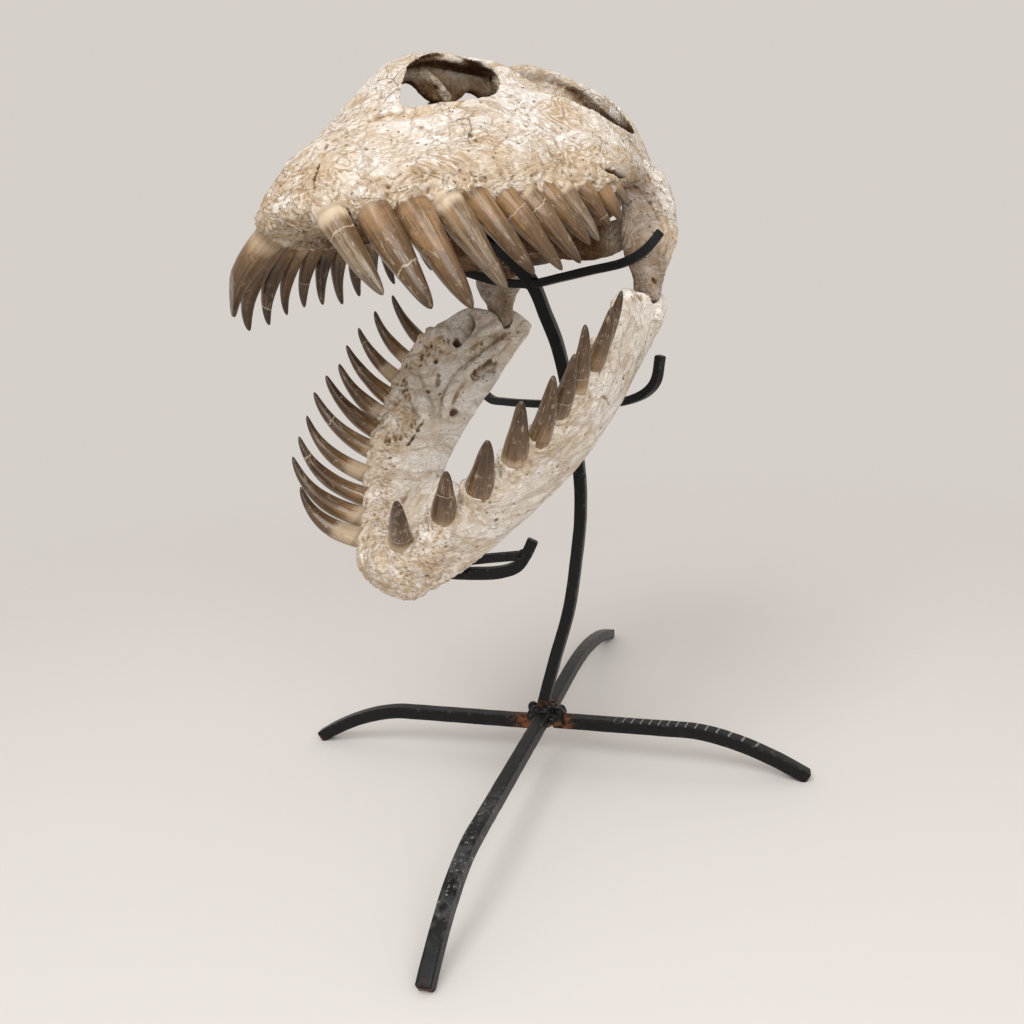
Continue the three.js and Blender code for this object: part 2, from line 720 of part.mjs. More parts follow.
const lengthOf = [-wide, wide];
const snoutRegion = join([ahead(cuts.snoutLeft, 1, gumHeight), ahead(cuts.snoutRight, -1, gumHeight)]);
const behindSnout = join([behind(cuts.snoutLeft, 1, gumHeight), behind(cuts.snoutRight, -1, gumHeight)]);
const frontRegion = join([ahead(cuts.cheekLeft, 1, gumHeight), ahead(cuts.cheekRight, -1, gumHeight)]);
const rearRegion = join([behind(cuts.cheekLeft, 1, gumHeight), behind(cuts.cheekRight, -1, gumHeight)]);
const roofRegion = block(lengthOf, lengthOf, [roofCut + gap, wide]);
const underRoof = block(lengthOf, lengthOf, [-wide, roofCut]);
const middleStrip = block(lengthOf, [-palateCut, palateCut], lengthOf);
const braincaseStrip = block(lengthOf, [-braincaseCut, braincaseCut], lengthOf);
const hingeZone = (side, grow = 0) => {
  const inner = quadrateInner - grow;
  const out = side > 0 ? [inner, wide] : [-wide, -inner];
  return block([-wide, quadrateFront + grow], out, [-wide, quadrateTop + grow]);
};
const outside = (halfWidth, side) => block(
  lengthOf,
  side > 0 ? [halfWidth + gap, wide] : [-wide, -halfWidth - gap],
  lengthOf,
);

place(skull, 'snout', cranium.intersect(snoutRegion), bone);
const middle = cranium.intersect(behindSnout);
const front = middle.intersect(frontRegion);
const rear = middle.intersect(rearRegion);
place(skull, 'skull_roof', front.intersect(roofRegion), bone);
for (const [name, side] of [['left', 1], ['right', -1]]) {
  place(skull, `${name}_upper_jaw`, front.intersect(underRoof).intersect(outside(palateCut, side)), bone);
  const flank = rear.intersect(outside(braincaseCut, side));
  place(skull, `${name}_cheek`, flank.subtract(hingeZone(side, gap)), bone);
  place(skull, `${name}_quadrate`, rear.intersect(hingeZone(side)), bone);
}
place(skull, 'palate', front.intersect(underRoof).intersect(middleStrip), innerBone);
place(skull, 'braincase', rear.intersect(braincaseStrip), innerBone);

const intoJaw = jaw.matrixWorld.clone().invert().multiply(skull.matrixWorld);
const hingeRoom = (side) => {
  const geometry = geometryOf(quadrate(side, 2 * gap));
  geometry.applyMatrix4(intoJaw);
  return solid(geometry);
};
const mandible = clearOfStand(jaw, join([
  jawRim(),
  chinFloor,
  hingeCup(1),
  hingeCup(-1),
  teeth(toothRows.lowerLeft, lowerSocket, 1),
  teeth(toothRows.lowerRight, lowerSocket, 1),
])).subtract(hingeRoom(1)).subtract(hingeRoom(-1));

const chinRegion = join([ahead(cuts.chinLeft, 1, rimHeight), ahead(cuts.chinRight, -1, rimHeight)]);
place(jaw, 'chin', mandible.intersect(chinRegion), paleBone);
for (const [name, side, cut] of [['left', 1, cuts.chinLeft], ['right', -1, cuts.chinRight]]) {
  const ramus = mandible.intersect(behind(cut, side, rimHeight));
  place(jaw, `${name}_ramus`, ramus.intersect(block([hingeCut + gap, wide], lengthOf, lengthOf)), paleBone);
  place(jaw, `${name}_jaw_hinge`, ramus.intersect(block([-wide, hingeCut], lengthOf, lengthOf)), paleBone);
}

// A leg's heading is measured from the skull's left, counter-clockwise seen from above.
const legs = {
  stand_leg_left: { heading: 45, reach: 206, height: 34, level: 0.55, bend: 1.7 },
  stand_leg_right: { heading: 225, reach: 206, height: 32, level: 0.6, bend: 1.8 },
  stand_leg_front: { heading: 314.5, reach: 285, height: 41, level: 0.66, bend: 1.9 },
  stand_leg_back: { heading: 135, reach: 284, height: 40, level: 0.3, bend: 2 },
};
const hubRoom = hubShape(gap);
for (const [name, sizes] of Object.entries(legs)) {
  place(part, name, leg(sizes).subtract(hubRoom), blackPaint);
}
place(part, 'stand_hub', hubShape(0).subtract(postRoom), weldPaint);
place(part, 'stand_post', solid(bar(post)), blackPaint);
for (const [name, from, to] of [['left', 1, wide], ['right', -wide, -1]]) {
  const half = block(lengthOf, [from, to], [0, 2 * wide]);
  place(part, `stand_upper_arm_${name}`, upperCradleBody.intersect(half), blackPaint);
  place(part, `stand_jaw_arm_${name}`, jawArmBody.intersect(half), blackPaint);
}
place(part, 'stand_chin_cradle', solid(bar(chinCradle)), blackPaint);
place(part, 'stand_spine', solid(bar(spine)).subtract(postRoom).subtract(chinCradleRoom), blackPaint);
place(part, 'stand_brace', solid(bar(brace)).subtract(chinCradleRoom), blackPaint);

export default part;
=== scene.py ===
"""A fossil plesiosaur skull with its jaws wide open on a bent square-bar stand, life size, in metres.

The skull, lower jaw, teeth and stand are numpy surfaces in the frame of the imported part. Tables of sizes
are in millimetres, in the skull's own frame: forward along the snout, out from the midline, and up.
"""
import itertools
import math

import bpy
import numpy as np
from mathutils import Matrix, Vector


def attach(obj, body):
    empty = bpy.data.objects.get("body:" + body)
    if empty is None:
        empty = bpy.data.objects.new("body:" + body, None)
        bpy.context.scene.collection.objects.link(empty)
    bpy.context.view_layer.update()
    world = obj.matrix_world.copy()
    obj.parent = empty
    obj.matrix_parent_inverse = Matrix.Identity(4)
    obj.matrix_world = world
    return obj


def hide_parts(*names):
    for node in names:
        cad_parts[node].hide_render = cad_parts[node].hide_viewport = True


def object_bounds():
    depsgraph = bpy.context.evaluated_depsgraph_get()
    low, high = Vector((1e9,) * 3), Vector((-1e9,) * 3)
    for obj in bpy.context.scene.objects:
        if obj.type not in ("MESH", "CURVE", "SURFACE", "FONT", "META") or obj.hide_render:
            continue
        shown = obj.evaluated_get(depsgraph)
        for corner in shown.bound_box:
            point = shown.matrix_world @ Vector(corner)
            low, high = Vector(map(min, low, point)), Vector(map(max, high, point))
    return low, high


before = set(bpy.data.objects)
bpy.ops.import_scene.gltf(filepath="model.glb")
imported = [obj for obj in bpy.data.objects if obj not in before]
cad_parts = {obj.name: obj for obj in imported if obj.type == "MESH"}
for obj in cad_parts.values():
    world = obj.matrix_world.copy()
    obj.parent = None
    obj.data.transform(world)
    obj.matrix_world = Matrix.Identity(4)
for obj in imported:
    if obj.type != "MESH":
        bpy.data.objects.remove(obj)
cad_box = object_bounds()

bl_info = {
    "name": "Fossil skull on a stand",
    "version": (1, 0, 0),
    "blender": (4, 5, 0),
    "location": "3D View > Sidebar > Fossil",
    "description": "Builds a mounted plesiosaur skull with its teeth, its lower jaw and its black bar stand",
    "category": "Add Mesh",
}

# ---- Sizes, in millimetres ----------------------------------------------------------------------------

MM = 0.001
JAW_AXIS = (-5, 42, 363)            # midpoint between the two jaw joints
SKULL_TURN = 8                      # degrees that the snout swings towards the left
SKULL_TILT, SKULL_NOD = -6.5, 5     # tilt of the cranium, left side up, and dip of its snout
JAW_TILT, JAW_NOD = -3.5, 50        # the same two of the lower jaw
GAP = 0.3                           # clearance between a bone and the bar it rests on

# Cranium from back to snout: forward, half-width at the gum, roof height, gum height, section exponent.
CRANIUM_ROWS = np.array([
    (-67, 20, 124, 98, 2.0), (-62, 38, 141, 86, 1.9), (-46, 62, 154, 77, 1.8), (-20, 84, 168, 74, 1.7),
    (10, 100, 176, 74, 1.7), (40, 107, 176, 76, 1.65), (70, 102, 181, 79, 1.65), (100, 97, 185, 80, 1.7),
    (125, 91, 178, 81, 1.7), (150, 83, 161, 81, 1.65), (176, 72, 141, 82, 1.7), (200, 58, 127, 84, 1.8),
    (216, 43, 113, 86, 1.9), (227, 28, 99, 89, 2.0), (232, 12, 95, 91, 2.0),
])
GUM_RIDGE, PALATE_VAULT, FULL_VAULT_WIDTH = 8, 20, 60
SNOUT_FLOOR = (165, 205)            # the palate's vault fades away between these, towards the snout
WALL, ROOF = 9, 6.5                 # thickness of the cheeks and of the roof
HOLLOW = (-52, 162)                 # the hollow under the roof, from behind the braincase to the snout's root
HOLLOW_TAPER = (20, 30)
HOLLOW_END = 0.35

# Braincase and crest: forward, half-width at the crest, half-width at the base, floor height.
BRAINCASE_ROWS = np.array([
    (-64, 9, 13, 88), (-50, 10, 22, 66), (-25, 9, 27, 58), (5, 8, 26, 55), (28, 8, 21, 60), (42, 7, 12, 84),
])
# Rear palate: forward, half-width, underside at the midline, underside of the flanges, top.
PALATE_ROWS = np.array([
    (-42, 15, 62, 66, 89), (-25, 24, 46, 50, 90), (0, 32, 38, 39, 90), (22, 42, 36, 38, 90),
    (42, 48, 42, 40, 92), (62, 53, 66, 42, 100), (84, 53, 80, 50, 100), (104, 48, 88, 66, 100),
    (122, 38, 90, 84, 100),
])
TROUGH = 0.85                       # the flanges hang lowest at this share of the half-width
# Bar from the palate to the hinge bone: forward, out, up, half-length, half-thickness.
WING_ROWS = np.array([
    (24, 24, 48, 10, 12), (16, 45, 42, 5.5, 11.3), (8, 67, 42.5, 5.5, 10.7), (0, 86, 50, 10, 10),
])
# Hinge bone: up, forward, half-length, out, half-thickness.
QUADRATE_ROWS = np.array([
    (98, 4, 16, 80, 6), (84, -2, 20, 84, 7), (70, -8, 23, 87, 8), (56, -9, 24, 87, 8.5), (42, -7, 26, 87, 9),
    (28, -3, 23, 88, 9.5), (14, 1, 12, 88, 10.5), (4, 4, 8, 87, 11.5), (-5, 5, 4, 87, 10),
])
# Knob behind the braincase: its centre and its half-sizes, across, back and up.
CONDYLE = ((0, 64, 88), (14.3, 13, 11.7))

# Half of the lower jaw, back to front: forward, out and up of the upper edge, the same of the lower edge,
# half-thickness, and the height of the lower edge on the right side.
JAW_ROWS = np.array([
    (-6, 82, -4, -6, 79, -12, 5, -24), (1, 87, 4, 1, 82, -15, 8, -26), (13, 91, 27, 12, 84, -17, 9, -26),
    (30, 102, 36, 30, 82, -19, 9, -22), (55, 114, 44, 55, 78, -21, 10, -18),
    (90, 116, 45, 89, 76, -21, 11, -13), (126, 106, 45, 124, 68, -19, 12, -6),
    (156, 90, 46, 156, 56, -15, 13, -1), (182, 70, 47, 186, 43, -10, 14, 0),
    (206, 48, 48, 212, 31, -3, 15, 0), (226, 29, 51, 234, 20, 5, 16, 5), (238, 10, 54, 247, 7, 9, 17, 9),
], float)
CHIN_ROW = np.array([(240, 0, 54, 248, 0, 12, 15)], float)
CHIN_FLOOR_ROWS = np.array([
    (170, 12, 24, 7), (182, 42, 20, 11), (204, 42, 20, 15), (224, 28, 24, 18), (240, 12, 28, 18),
], float)
# Cup under the hinge bone: forward, out, up, half-length, half-width.
HINGE_CUP_ROWS = np.array([(9, 85, -14, 7, 7), (9, 85, -9, 8.5, 8.5), (9, 86, -3, 9.5, 10.5)])

# Plan and side outlines of the openings: (forward, out), (forward, up) and, seen from behind, (out, up).
FENESTRA = ((44, 15), (56, 34), (53, 62), (24, 86), (-6, 82), (-30, 62), (-36, 36), (-29, 17))
MUSCLE_PASSAGE = ((26, 46), (34, 66), (22, 80), (-8, 72), (-26, 54), (-34, 38), (-20, 34))
EYE_SOCKET = ((148, 140), (122, 138), (96, 140), (78, 153), (66, 168), (76, 177), (100, 179), (124, 170),
              (141, 152))
REAR_OPENING = ((32, 66), (56, 64), (60, 80), (53, 98), (38, 104), (28, 90))

# Wall that hangs from the roof between the eyes (forward, up), its half-thickness, and a thin bone lying on
# its left side.
SEPTUM = ((130, 158), (120, 164), (110, 167), (105, 165), (101, 160), (96, 156), (86, 153), (75, 153),
          (67, 157), (61, 160), (55, 158), (49, 154), (42, 158), (36, 168), (52, 176), (84, 180), (112, 178),
          (128, 168))
SEPTUM_THICKNESS = 3.5
EYE_STRUT = ((99, 4.5, 175), (91, 6.5, 166), (82, 5, 157))
STRUT_RADII = (3.2, 2.2)

# Tooth rows: where the sockets are, how far the crowns stand out, how much they bow, the power by which they
# taper, their radii, the outward lean from the first to the last tooth, the forward sweep at the first, the
# middle and the last, how much painted shade darkens the row, and how far up the pale roots show.
# The inset is the first socket's distance from the outer edge of the gum, where it isn't the usual one.
TOOTH_ROWS = {
    "upper_left": dict(
        side=1, sockets=(210, 190, 170, 150, 133, 116, 101, 87, 75, 60, 46, 31),
        crowns=(54, 65, 68, 60, 54, 54, 51, 40, 38, 30, 26, 15), bow=0.10, taper=1.9,
        radii=(10, 12, 12, 11, 9.5, 9, 8.5, 8, 7.5, 7, 6.5, 4.5), lean=(32, 2), sweep=(-5, -27, -9),
        row_shade=0.0, bare=0.10),
    "upper_right": dict(
        side=-1, first_inset=19, sockets=(213, 201, 187, 174, 162, 150, 137, 122, 107, 92, 76, 58, 40),
        crowns=(46, 55, 52, 46, 42, 42, 44, 40, 38, 34, 30, 26, 18), bow=0.26, taper=1.5,
        radii=(12, 10, 8.5, 7.5, 7.5, 7.5, 8, 8, 8, 7, 6.5, 6, 5), lean=(44, 4), sweep=(26, 2, -8),
        row_shade=1.1, bare=0.10),
    "lower_left": dict(
        side=1, sockets=(229, 204, 181, 157, 138, 121, 104, 84, 70),
        crowns=(36, 32, 29, 33, 28, 26, 32, 22, 20), bow=0.16, taper=1.6,
        radii=(9.5, 9.5, 10, 9.5, 8.5, 8, 7.5, 7, 6), lean=(32, 22),
        sweep=(-14, -26, -26), row_shade=0.9, bare=0.12),
    "lower_right": dict(
        side=-1, sockets=(228, 212, 196, 178, 158, 141, 126, 109, 91, 72, 54),
        crowns=(44, 58, 58, 56, 56, 52, 46, 47, 45, 41, 38), bow=0.36, taper=1.2,
        radii=(10, 10, 9.5, 9, 9, 9, 8.5, 8, 7.5, 7.5, 7), lean=(40, 14), sweep=(-8, -16, -18),
        row_shade=0.95, bare=0.18),
}
ROOT_DEPTH = 9                      # how far a tooth reaches into its socket
SOCKET_INSET = 8                    # distance of an upper socket from the outer edge of the gum
TOOTH_TIP = 0.24                    # thickness of a tip, as a share of the root's
TOOTH_FLATNESS = 0.9
GOLDEN = 0.618                      # steps of this size spread the teeth's tones evenly
# Bone sleeve round a root: how far it goes into the jaw and out of it, and its thickness.
COLLAR_DEPTH, COLLAR_RISE, COLLAR_WIDTH = 16, 3.5, 1.9
# The tones start here. The crack is the mend of the first tooth on the left, and no crown reaches UNMENDED.
FIRST_TONE, FIRST_MEND, UNMENDED = 0.92, 0.28, 2.0
TOOTH_SIDES, TOOTH_RINGS = 40, 48

# Stand: a smooth line through a few points, and the width of the square bar along it.
HUB = (0, -4, 38)
POST = ((0, -6, 38), (0, -2, 51), (0, 10.5, 85), (0, 25, 123), (0, 34, 164), (0, 39.5, 200), (0, 40, 232),
        (0, 32, 300), (0, 23.5, 338), (0, 14.5, 360), (0, 5, 382), (0, -14, 403), (0, -36, 418),
        (0, -61, 427))
UPPER_CRADLE = ((-103, -28, 417), (-94, -23, 402), (-62, -14, 392), (-32, -5, 385), (0, 3, 382.5),
                (30, 10, 386), (60, 16, 390), (85, 28, 394.5), (97, 36, 401.5), (104, 44, 413))
JAW_ARM = ((-112, 12, 312), (-108, 13, 296), (-96, 15, 288), (-76, 18, 287), (0, 30, 290), (40, 36, 293),
           (72, 40, 299), (88, 43, 306), (96, 44, 314), (100, 45, 331))
CHIN_CRADLE = ((66, -43, 208), (63, -47, 198), (59, -52, 189.5), (52, -61, 185), (38, -80, 184),
               (22, -92, 184), (4, -99, 186), (-14, -102, 188), (-26, -101, 193))
SPINE = ((0, 34, 262), (8, -20, 222), (18, -62, 198), (24, -88, 186))
BRACE = ((61, -49, 197), (34, -92, 194))
# Legs: heading in degrees from the skull's left, reach, height at the hub, level share, and bend exponent.
LEGS = {
    "stand_leg_left": (45, 206, 34, 0.55, 1.7), "stand_leg_right": (225, 206, 32, 0.6, 1.8),
    "stand_leg_front": (314.5, 285, 41, 0.66, 1.9), "stand_leg_back": (135, 284, 40, 0.3, 2),
}
LEG_RUST = {"stand_leg_left": 30, "stand_leg_right": 36, "stand_leg_front": 20, "stand_leg_back": 30}
FOOT_DIP = 2                        # a leg runs this far under the floor before its end is ground flat
LEG_STEPS, LEG_START = 120, 3       # points along a leg, and the one where its bar starts, inside the hub
ROUND_OFF, BAR_BEVEL = 0.09, 0.12   # corner radius and end bevel of a bar, as shares of its width

# Welds: the hub's half-sizes, how far out its beads sit along a leg, beside it and round the post, the size
# of the grid, and half-sizes of the beads on the cradles.
HUB_RADII, LEG_BEADS, BEADS_BESIDE, BEADS_ROUND = (11.5, 12, 9.5), 11, 6.5, 6.5
WELD_VOXEL, CRADLE_BEADS = 0.6, (5.2, 5.2, 4.6)

# Camera: place, and the three turns that aim it.
CAMERA_AT = (0.6554, -0.3800, 0.3918)
CAMERA_TURNS = (61.4, 76.52, -2.96)
CAMERA_LENS, CAMERA_SENSOR = 35.156, 36
# Stage, in metres: each lamp's place and size, the height it aims at, and the floor's two radii. Then how
# many sides and rings the floor has.
LAMPS = {"key": ((0.7, -1.3, 2.05), 1.0), "fill": ((1.7, -0.55, 1.05), 1.2)}
LAMP_AIM = 0.28
FLOOR_RADII, FLOOR_SIDES, FLOOR_RINGS = (0.02, 4.0), 96, 60

# ---- Noise --------------------------------------------------------------------------------------------

SHUFFLE = np.random.default_rng(7).permutation(256)
SLOPES = np.random.default_rng(8).normal(size=(256, 3))
SLOPES /= np.linalg.norm(SLOPES, axis=1)[:, None]
CORNERS = np.array(list(itertools.product((0, 1), repeat=3)))
NEIGHBOURS = np.array(list(itertools.product((-1, 0, 1), repeat=3)))


def keys(cells):
    """A fixed random number from 0 to 255 for every lattice cell."""
    mixed = SHUFFLE[cells[:, 0] & 255]
    mixed = SHUFFLE[(mixed + cells[:, 1]) & 255]
    return SHUFFLE[(mixed + cells[:, 2]) & 255]


def noise(points, size, shift=0.0):
    """Smooth noise, about -1 to 1, one bump to each size: every corner of a lattice has a random slope, and
    the slopes' planes are blended by the quintic fade 6f^5 - 15f^4 + 10f^3."""
    place = points / size + shift
    cell = np.floor(place).astype(int)
    part = place - cell
    fade = part ** 3 * (part * (part * 6 - 15) + 10)
    total = np.zeros(len(points))
    for corner in CORNERS:
        weight = np.prod(np.where(corner, fade, 1 - fade), axis=1)
        total += weight * ((part - corner) * SLOPES[keys(cell + corner)]).sum(1)
    return total * 1.6


def layered(points, size, layers, shift=0.0):
    """Noise of halving size and strength, added up."""
    return sum(noise(points, size / 2 ** k, shift + 17.3 * k) / 2 ** k for k in range(layers))


def ridges(points, size, shift=0.0):
    """Sharp crests, 0 to 1: one less the absolute value of noise, squared."""
    return (1 - np.clip(np.abs(noise(points, size, shift)) * 1.8, 0, 1)) ** 2


def whorls(points, size, rings):
    """Winding ridges, -1 to 1, like the grain round a knot: the sine of a smooth noise times some rings."""
    return np.sin(layered(points, size, 2) * rings)


def pits(points, spacing, radius, share):
    """Round pits, 0 to 1: a random point in every cell of a lattice, kept in a share of them, and a depth
    that falls from 1 at the point to 0 at the pit's own radius."""
    place = points / spacing
    cell = np.floor(place).astype(int)
    depth = np.zeros(len(points))
    for step in NEIGHBOURS:
        key = keys(cell + step)
        spot = (cell + step) + 0.5 + 0.4 * SLOPES[key]
        away = np.linalg.norm(place - spot, axis=1) * spacing
        size = radius * (0.45 + key / 256)
        made = keys(cell + step + 91) < 256 * share
        depth = np.maximum(depth, made * np.clip(1 - (away / size) ** 2, 0, 1))
    return depth


def smoothstep(value, low, high):
    """0 below low, 1 above high, and a smooth rise between them."""
    share = np.clip((value - low) / (high - low), 0, 1)
    return share * share * (3 - 2 * share)


# ---- Curves and surfaces ------------------------------------------------------------------------------

def cubic(start, end, slope_in, slope_out, f):
    """The cubic between two values that leaves and arrives with the given slopes; f runs from 0 to 1."""
    rise = 3 * (end - start) - 2 * slope_in - slope_out
    bend = 2 * (start - end) + slope_in + slope_out
    return start + f * (slope_in + f * (rise + f * bend))


def row_at(rows, t):
    """Rows of a table between its own, by a uniform Catmull-Rom curve; t runs from 0 to 1."""
    place = np.clip(np.atleast_1d(t), 0, 1) * (len(rows) - 1)
    k = np.minimum(place.astype(int), len(rows) - 2)
    f = (place - k)[:, None]
    before, start, end = rows[np.maximum(k - 1, 0)], rows[k], rows[k + 1]
    after = rows[np.minimum(k + 2, len(rows) - 1)]
    return cubic(start, end, (end - before) / 2, (after - start) / 2, f)


def row_where(rows, forward):
    """The rows of a table where its first column reaches the given values."""
    t = np.linspace(0, 1, 2001)
    return row_at(rows, np.interp(forward, row_at(rows, t)[:, 0], t))


def at(forward, out, up):
    """Points from their distances forward, out to the left, and up."""
    return np.stack(np.broadcast_arrays(out, -np.asarray(forward, float), up), -1).astype(float)


def power(value, exponent):
    """A power that keeps the sign."""
    return np.sign(value) * np.abs(value) ** exponent


def oval_rings(centre, across, upward, sides, exponent):
    """Rings of a superellipse |x|^e + |y|^e = 1 in the plane of two vectors about each centre."""
    angle = np.arange(sides) * 2 * np.pi / sides
    x, y = power(np.cos(angle), 2 / exponent), power(np.sin(angle), 2 / exponent)
    return centre[:, None] + across[:, None] * x[:, None] + upward[:, None] * y[:, None]


def shell(rings):
    """A closed surface through rings of equally many points, fanned shut at both ends and facing outwards."""
    count, around = rings.shape[:2]
    points = np.concatenate([rings.reshape(-1, 3), rings[0].mean(0)[None], rings[-1].mean(0)[None]])
    i = np.arange(around)
    j = (i + 1) % around
    base = np.arange(count - 1)[:, None] * around
    walls = [np.stack([base + i, base + j, base + around + j], -1),
             np.stack([base + i, base + around + j, base + around + i], -1)]
    hub, last = np.full(around, count * around), (count - 1) * around
    ends = [np.stack([hub, j, i], -1), np.stack([hub + 1, i + last, j + last], -1)]
    faces = np.concatenate([part.reshape(-1, 3) for part in walls + ends])
    a, b, c = (points[faces[:, k]] for k in range(3))
    if (a * np.cross(b, c)).sum() < 0:
        faces = faces[:, ::-1]
    return points, faces


def ball(centre, radii, sides=24):
    """An ellipsoid as rings of latitude about the vertical."""
    tilt = np.linspace(-np.pi / 2, np.pi / 2, sides // 2 + 1)[1:-1]
    angle = np.arange(sides) * 2 * np.pi / sides
    unit = np.stack([np.cos(tilt)[:, None] * np.cos(angle), np.cos(tilt)[:, None] * np.sin(angle),
                     np.broadcast_to(np.sin(tilt)[:, None], (len(tilt), sides))], -1)
    return shell(np.array(centre, float) + unit * np.array(radii, float))


def smooth_line(points, count):
    """A centripetal Catmull-Rom curve through points, resampled at equal steps along its length."""
    points = np.array(points, float)
    points = np.concatenate([[2 * points[0] - points[1]], points, [2 * points[-1] - points[-2]]])
    gaps = np.sqrt(np.linalg.norm(np.diff(points, axis=0), axis=1))
    place = np.linspace(0, len(points) - 3, 40 * (len(points) - 3) + 1)
    k = np.minimum(place.astype(int), len(points) - 4)
    f = (place - k)[:, None]
    p0, p1, p2, p3 = (points[k + n] for n in range(4))
    d0, d1, d2 = (gaps[k + n][:, None] for n in range(3))
    slope_in = ((p1 - p0) / d0 - (p2 - p0) / (d0 + d1) + (p2 - p1) / d1) * d1
    slope_out = ((p2 - p1) / d1 - (p3 - p1) / (d1 + d2) + (p3 - p2) / d2) * d1
    return resampled(cubic(p1, p2, slope_in, slope_out, f), count)


def resampled(line, count):
    """The same line as count points at equal steps along its length."""
    length = np.concatenate([[0], np.cumsum(np.linalg.norm(np.diff(line, axis=0), axis=1))])
    steps = np.linspace(0, length[-1], count)
    return np.stack([np.interp(steps, length, line[:, k]) for k in range(3)], -1)


def block(low, high):
    """A box between two corners, as two square rings."""
    x, y, z = np.stack([low, high]).T
    return shell(np.array([[(x[0], y[0], z[k]), (x[1], y[0], z[k]), (x[1], y[1], z[k]), (x[0], y[1], z[k])]
                           for k in (0, 1)]))


def rod(line, radii, sides=20):
    """A flattened rod along a smooth line, pointed at both ends."""
    path = smooth_line(at(*np.array(line, float).T), 30)
    fade = np.sqrt(np.clip(1 - np.linspace(-1, 1, 30) ** 4, 0.05, 1))[:, None]
    along = np.gradient(path, axis=0)
    across = np.cross(along, (1, 0, 0))
    across /= np.linalg.norm(across, axis=1)[:, None]
    sideways = fade * radii[1] * np.array([[1.0, 0, 0]])
    return shell(oval_rings(path, across * fade * radii[0], sideways, sides, 2))


def closed_outline(points, count):
    """A smooth closed outline through a few points of a plane."""
    flat = np.array([(a, b, 0) for a, b in points], float)
    around = smooth_line(np.concatenate([flat[-2:], flat, flat[:2]]), 20 * count)
    first = np.argmin(np.linalg.norm(around[:len(around) // 3] - flat[0], axis=1))
    last = len(around) // 2 + np.argmin(np.linalg.norm(around[len(around) // 2:] - flat[0], axis=1))
    return resampled(around[first:last + 1], count + 1)[:-1, :2]


def grown(shells):
    """Several closed surfaces as one list of points and faces."""
    start = np.cumsum([0] + [len(points) for points, faces in shells[:-1]])
    return (np.concatenate([points for points, faces in shells]),
            np.concatenate([faces + n for n, (points, faces) in zip(start, shells)]))


# ---- Meshes -------------------------------------------------------------------------------------------

def linked(name, data):
    """A new object in the scene."""
    piece = bpy.data.objects.new(name, data)
    bpy.context.scene.collection.objects.link(piece)
    return piece


def new_object(name, points, faces):
    """An object with a mesh of triangles."""
    mesh = bpy.data.meshes.new(name)
    mesh.vertices.add(len(points))
    mesh.vertices.foreach_set("co", np.ascontiguousarray(points, np.float32).ravel())
    mesh.loops.add(faces.size)
    mesh.loops.foreach_set("vertex_index", np.ascontiguousarray(faces, np.int32).ravel())
    mesh.polygons.add(len(faces))
    mesh.polygons.foreach_set("loop_start", np.arange(0, faces.size, 3, dtype=np.int32))
    mesh.update(calc_edges=True)
    mesh.validate()
    return linked(name, mesh)


def apply_modifiers(piece):
    """Puts what the modifiers make into the mesh."""
    bpy.context.view_layer.update()
    made = bpy.data.meshes.new_from_object(piece.evaluated_get(bpy.context.evaluated_depsgraph_get()))
    old = piece.data
    piece.modifiers.clear()
    piece.data = made
    bpy.data.meshes.remove(old)


def discard(*pieces):
    """Deletes objects that only helped to make others."""
    for piece in pieces:
        mesh = piece.data
        bpy.data.objects.remove(piece)
        bpy.data.meshes.remove(mesh)


def combined(piece, tool, operation):
    """A Boolean of two closed meshes."""
    step = piece.modifiers.new("cut", "BOOLEAN")
    step.operation, step.solver, step.object = operation, "MANIFOLD", tool
    apply_modifiers(piece)
    discard(tool)


def divided(piece, parts):
    """Cuts a finished piece into parts that meet without a gap. Each has a name and two corners of a box."""
    made = []
    for name, low, high in parts:
        part = linked(name, piece.data.copy())
        combined(part, new_object("zone", *block(low, high)), "INTERSECT")
        part.data.name = name
        made.append(part)
    discard(piece)
    return made


def remeshed(piece, voxel):
    """One even skin round overlapping closed meshes."""
    step = piece.modifiers.new("skin", "REMESH")
    step.mode, step.voxel_size, step.adaptivity = "VOXEL", voxel, 0
    apply_modifiers(piece)


def values_of(items, key, kind, width):
    """One value of every point or edge as an array, a row for each."""
    values = np.empty(len(items) * width, kind)
    items.foreach_get(key, values)
    return values.reshape(-1, width)


def points_of(mesh):
    """The mesh's points as an array."""
    return values_of(mesh.vertices, "co", np.float32, 3).astype(float)


def set_points(mesh, points):
    """Moves the mesh's points."""
    mesh.vertices.foreach_set("co", np.ascontiguousarray(points, np.float32).ravel())
    mesh.update()


def normals_of(mesh):
    """The mesh's point normals as an array."""
    return values_of(mesh.vertex_normals, "vector", np.float32, 3).astype(float)


def averaged(mesh, values, rounds):
    """Values at points, moved half of the way to their neighbours' mean, several times."""
    a, b = values_of(mesh.edges, "vertices", np.int32, 2).T
    size = len(mesh.vertices)
    count = np.maximum(np.bincount(a, minlength=size) + np.bincount(b, minlength=size), 1)
    values = np.array(values, float).reshape(size, -1)
    for _ in range(rounds):
        total = np.stack([np.bincount(a, column[b], size) + np.bincount(b, column[a], size)
                          for column in values.T], -1)
        values = values + 0.5 * (total / count[:, None] - values)
    return values


def paint(mesh, **layers):
    """Stores a number at every point, for the materials."""
    for name, values in layers.items():
        layer = mesh.attributes.new(name, "FLOAT", "POINT")
        layer.data.foreach_set("value", np.ascontiguousarray(values, np.float32))


def smooth_shaded(mesh, crease):
    """Shades the mesh smooth, except across edges sharper than an angle in degrees."""
    mesh.polygons.foreach_set("use_smooth", np.ones(len(mesh.polygons), bool))
    mesh.set_sharp_from_angle(angle=math.radians(crease))
    mesh.update()


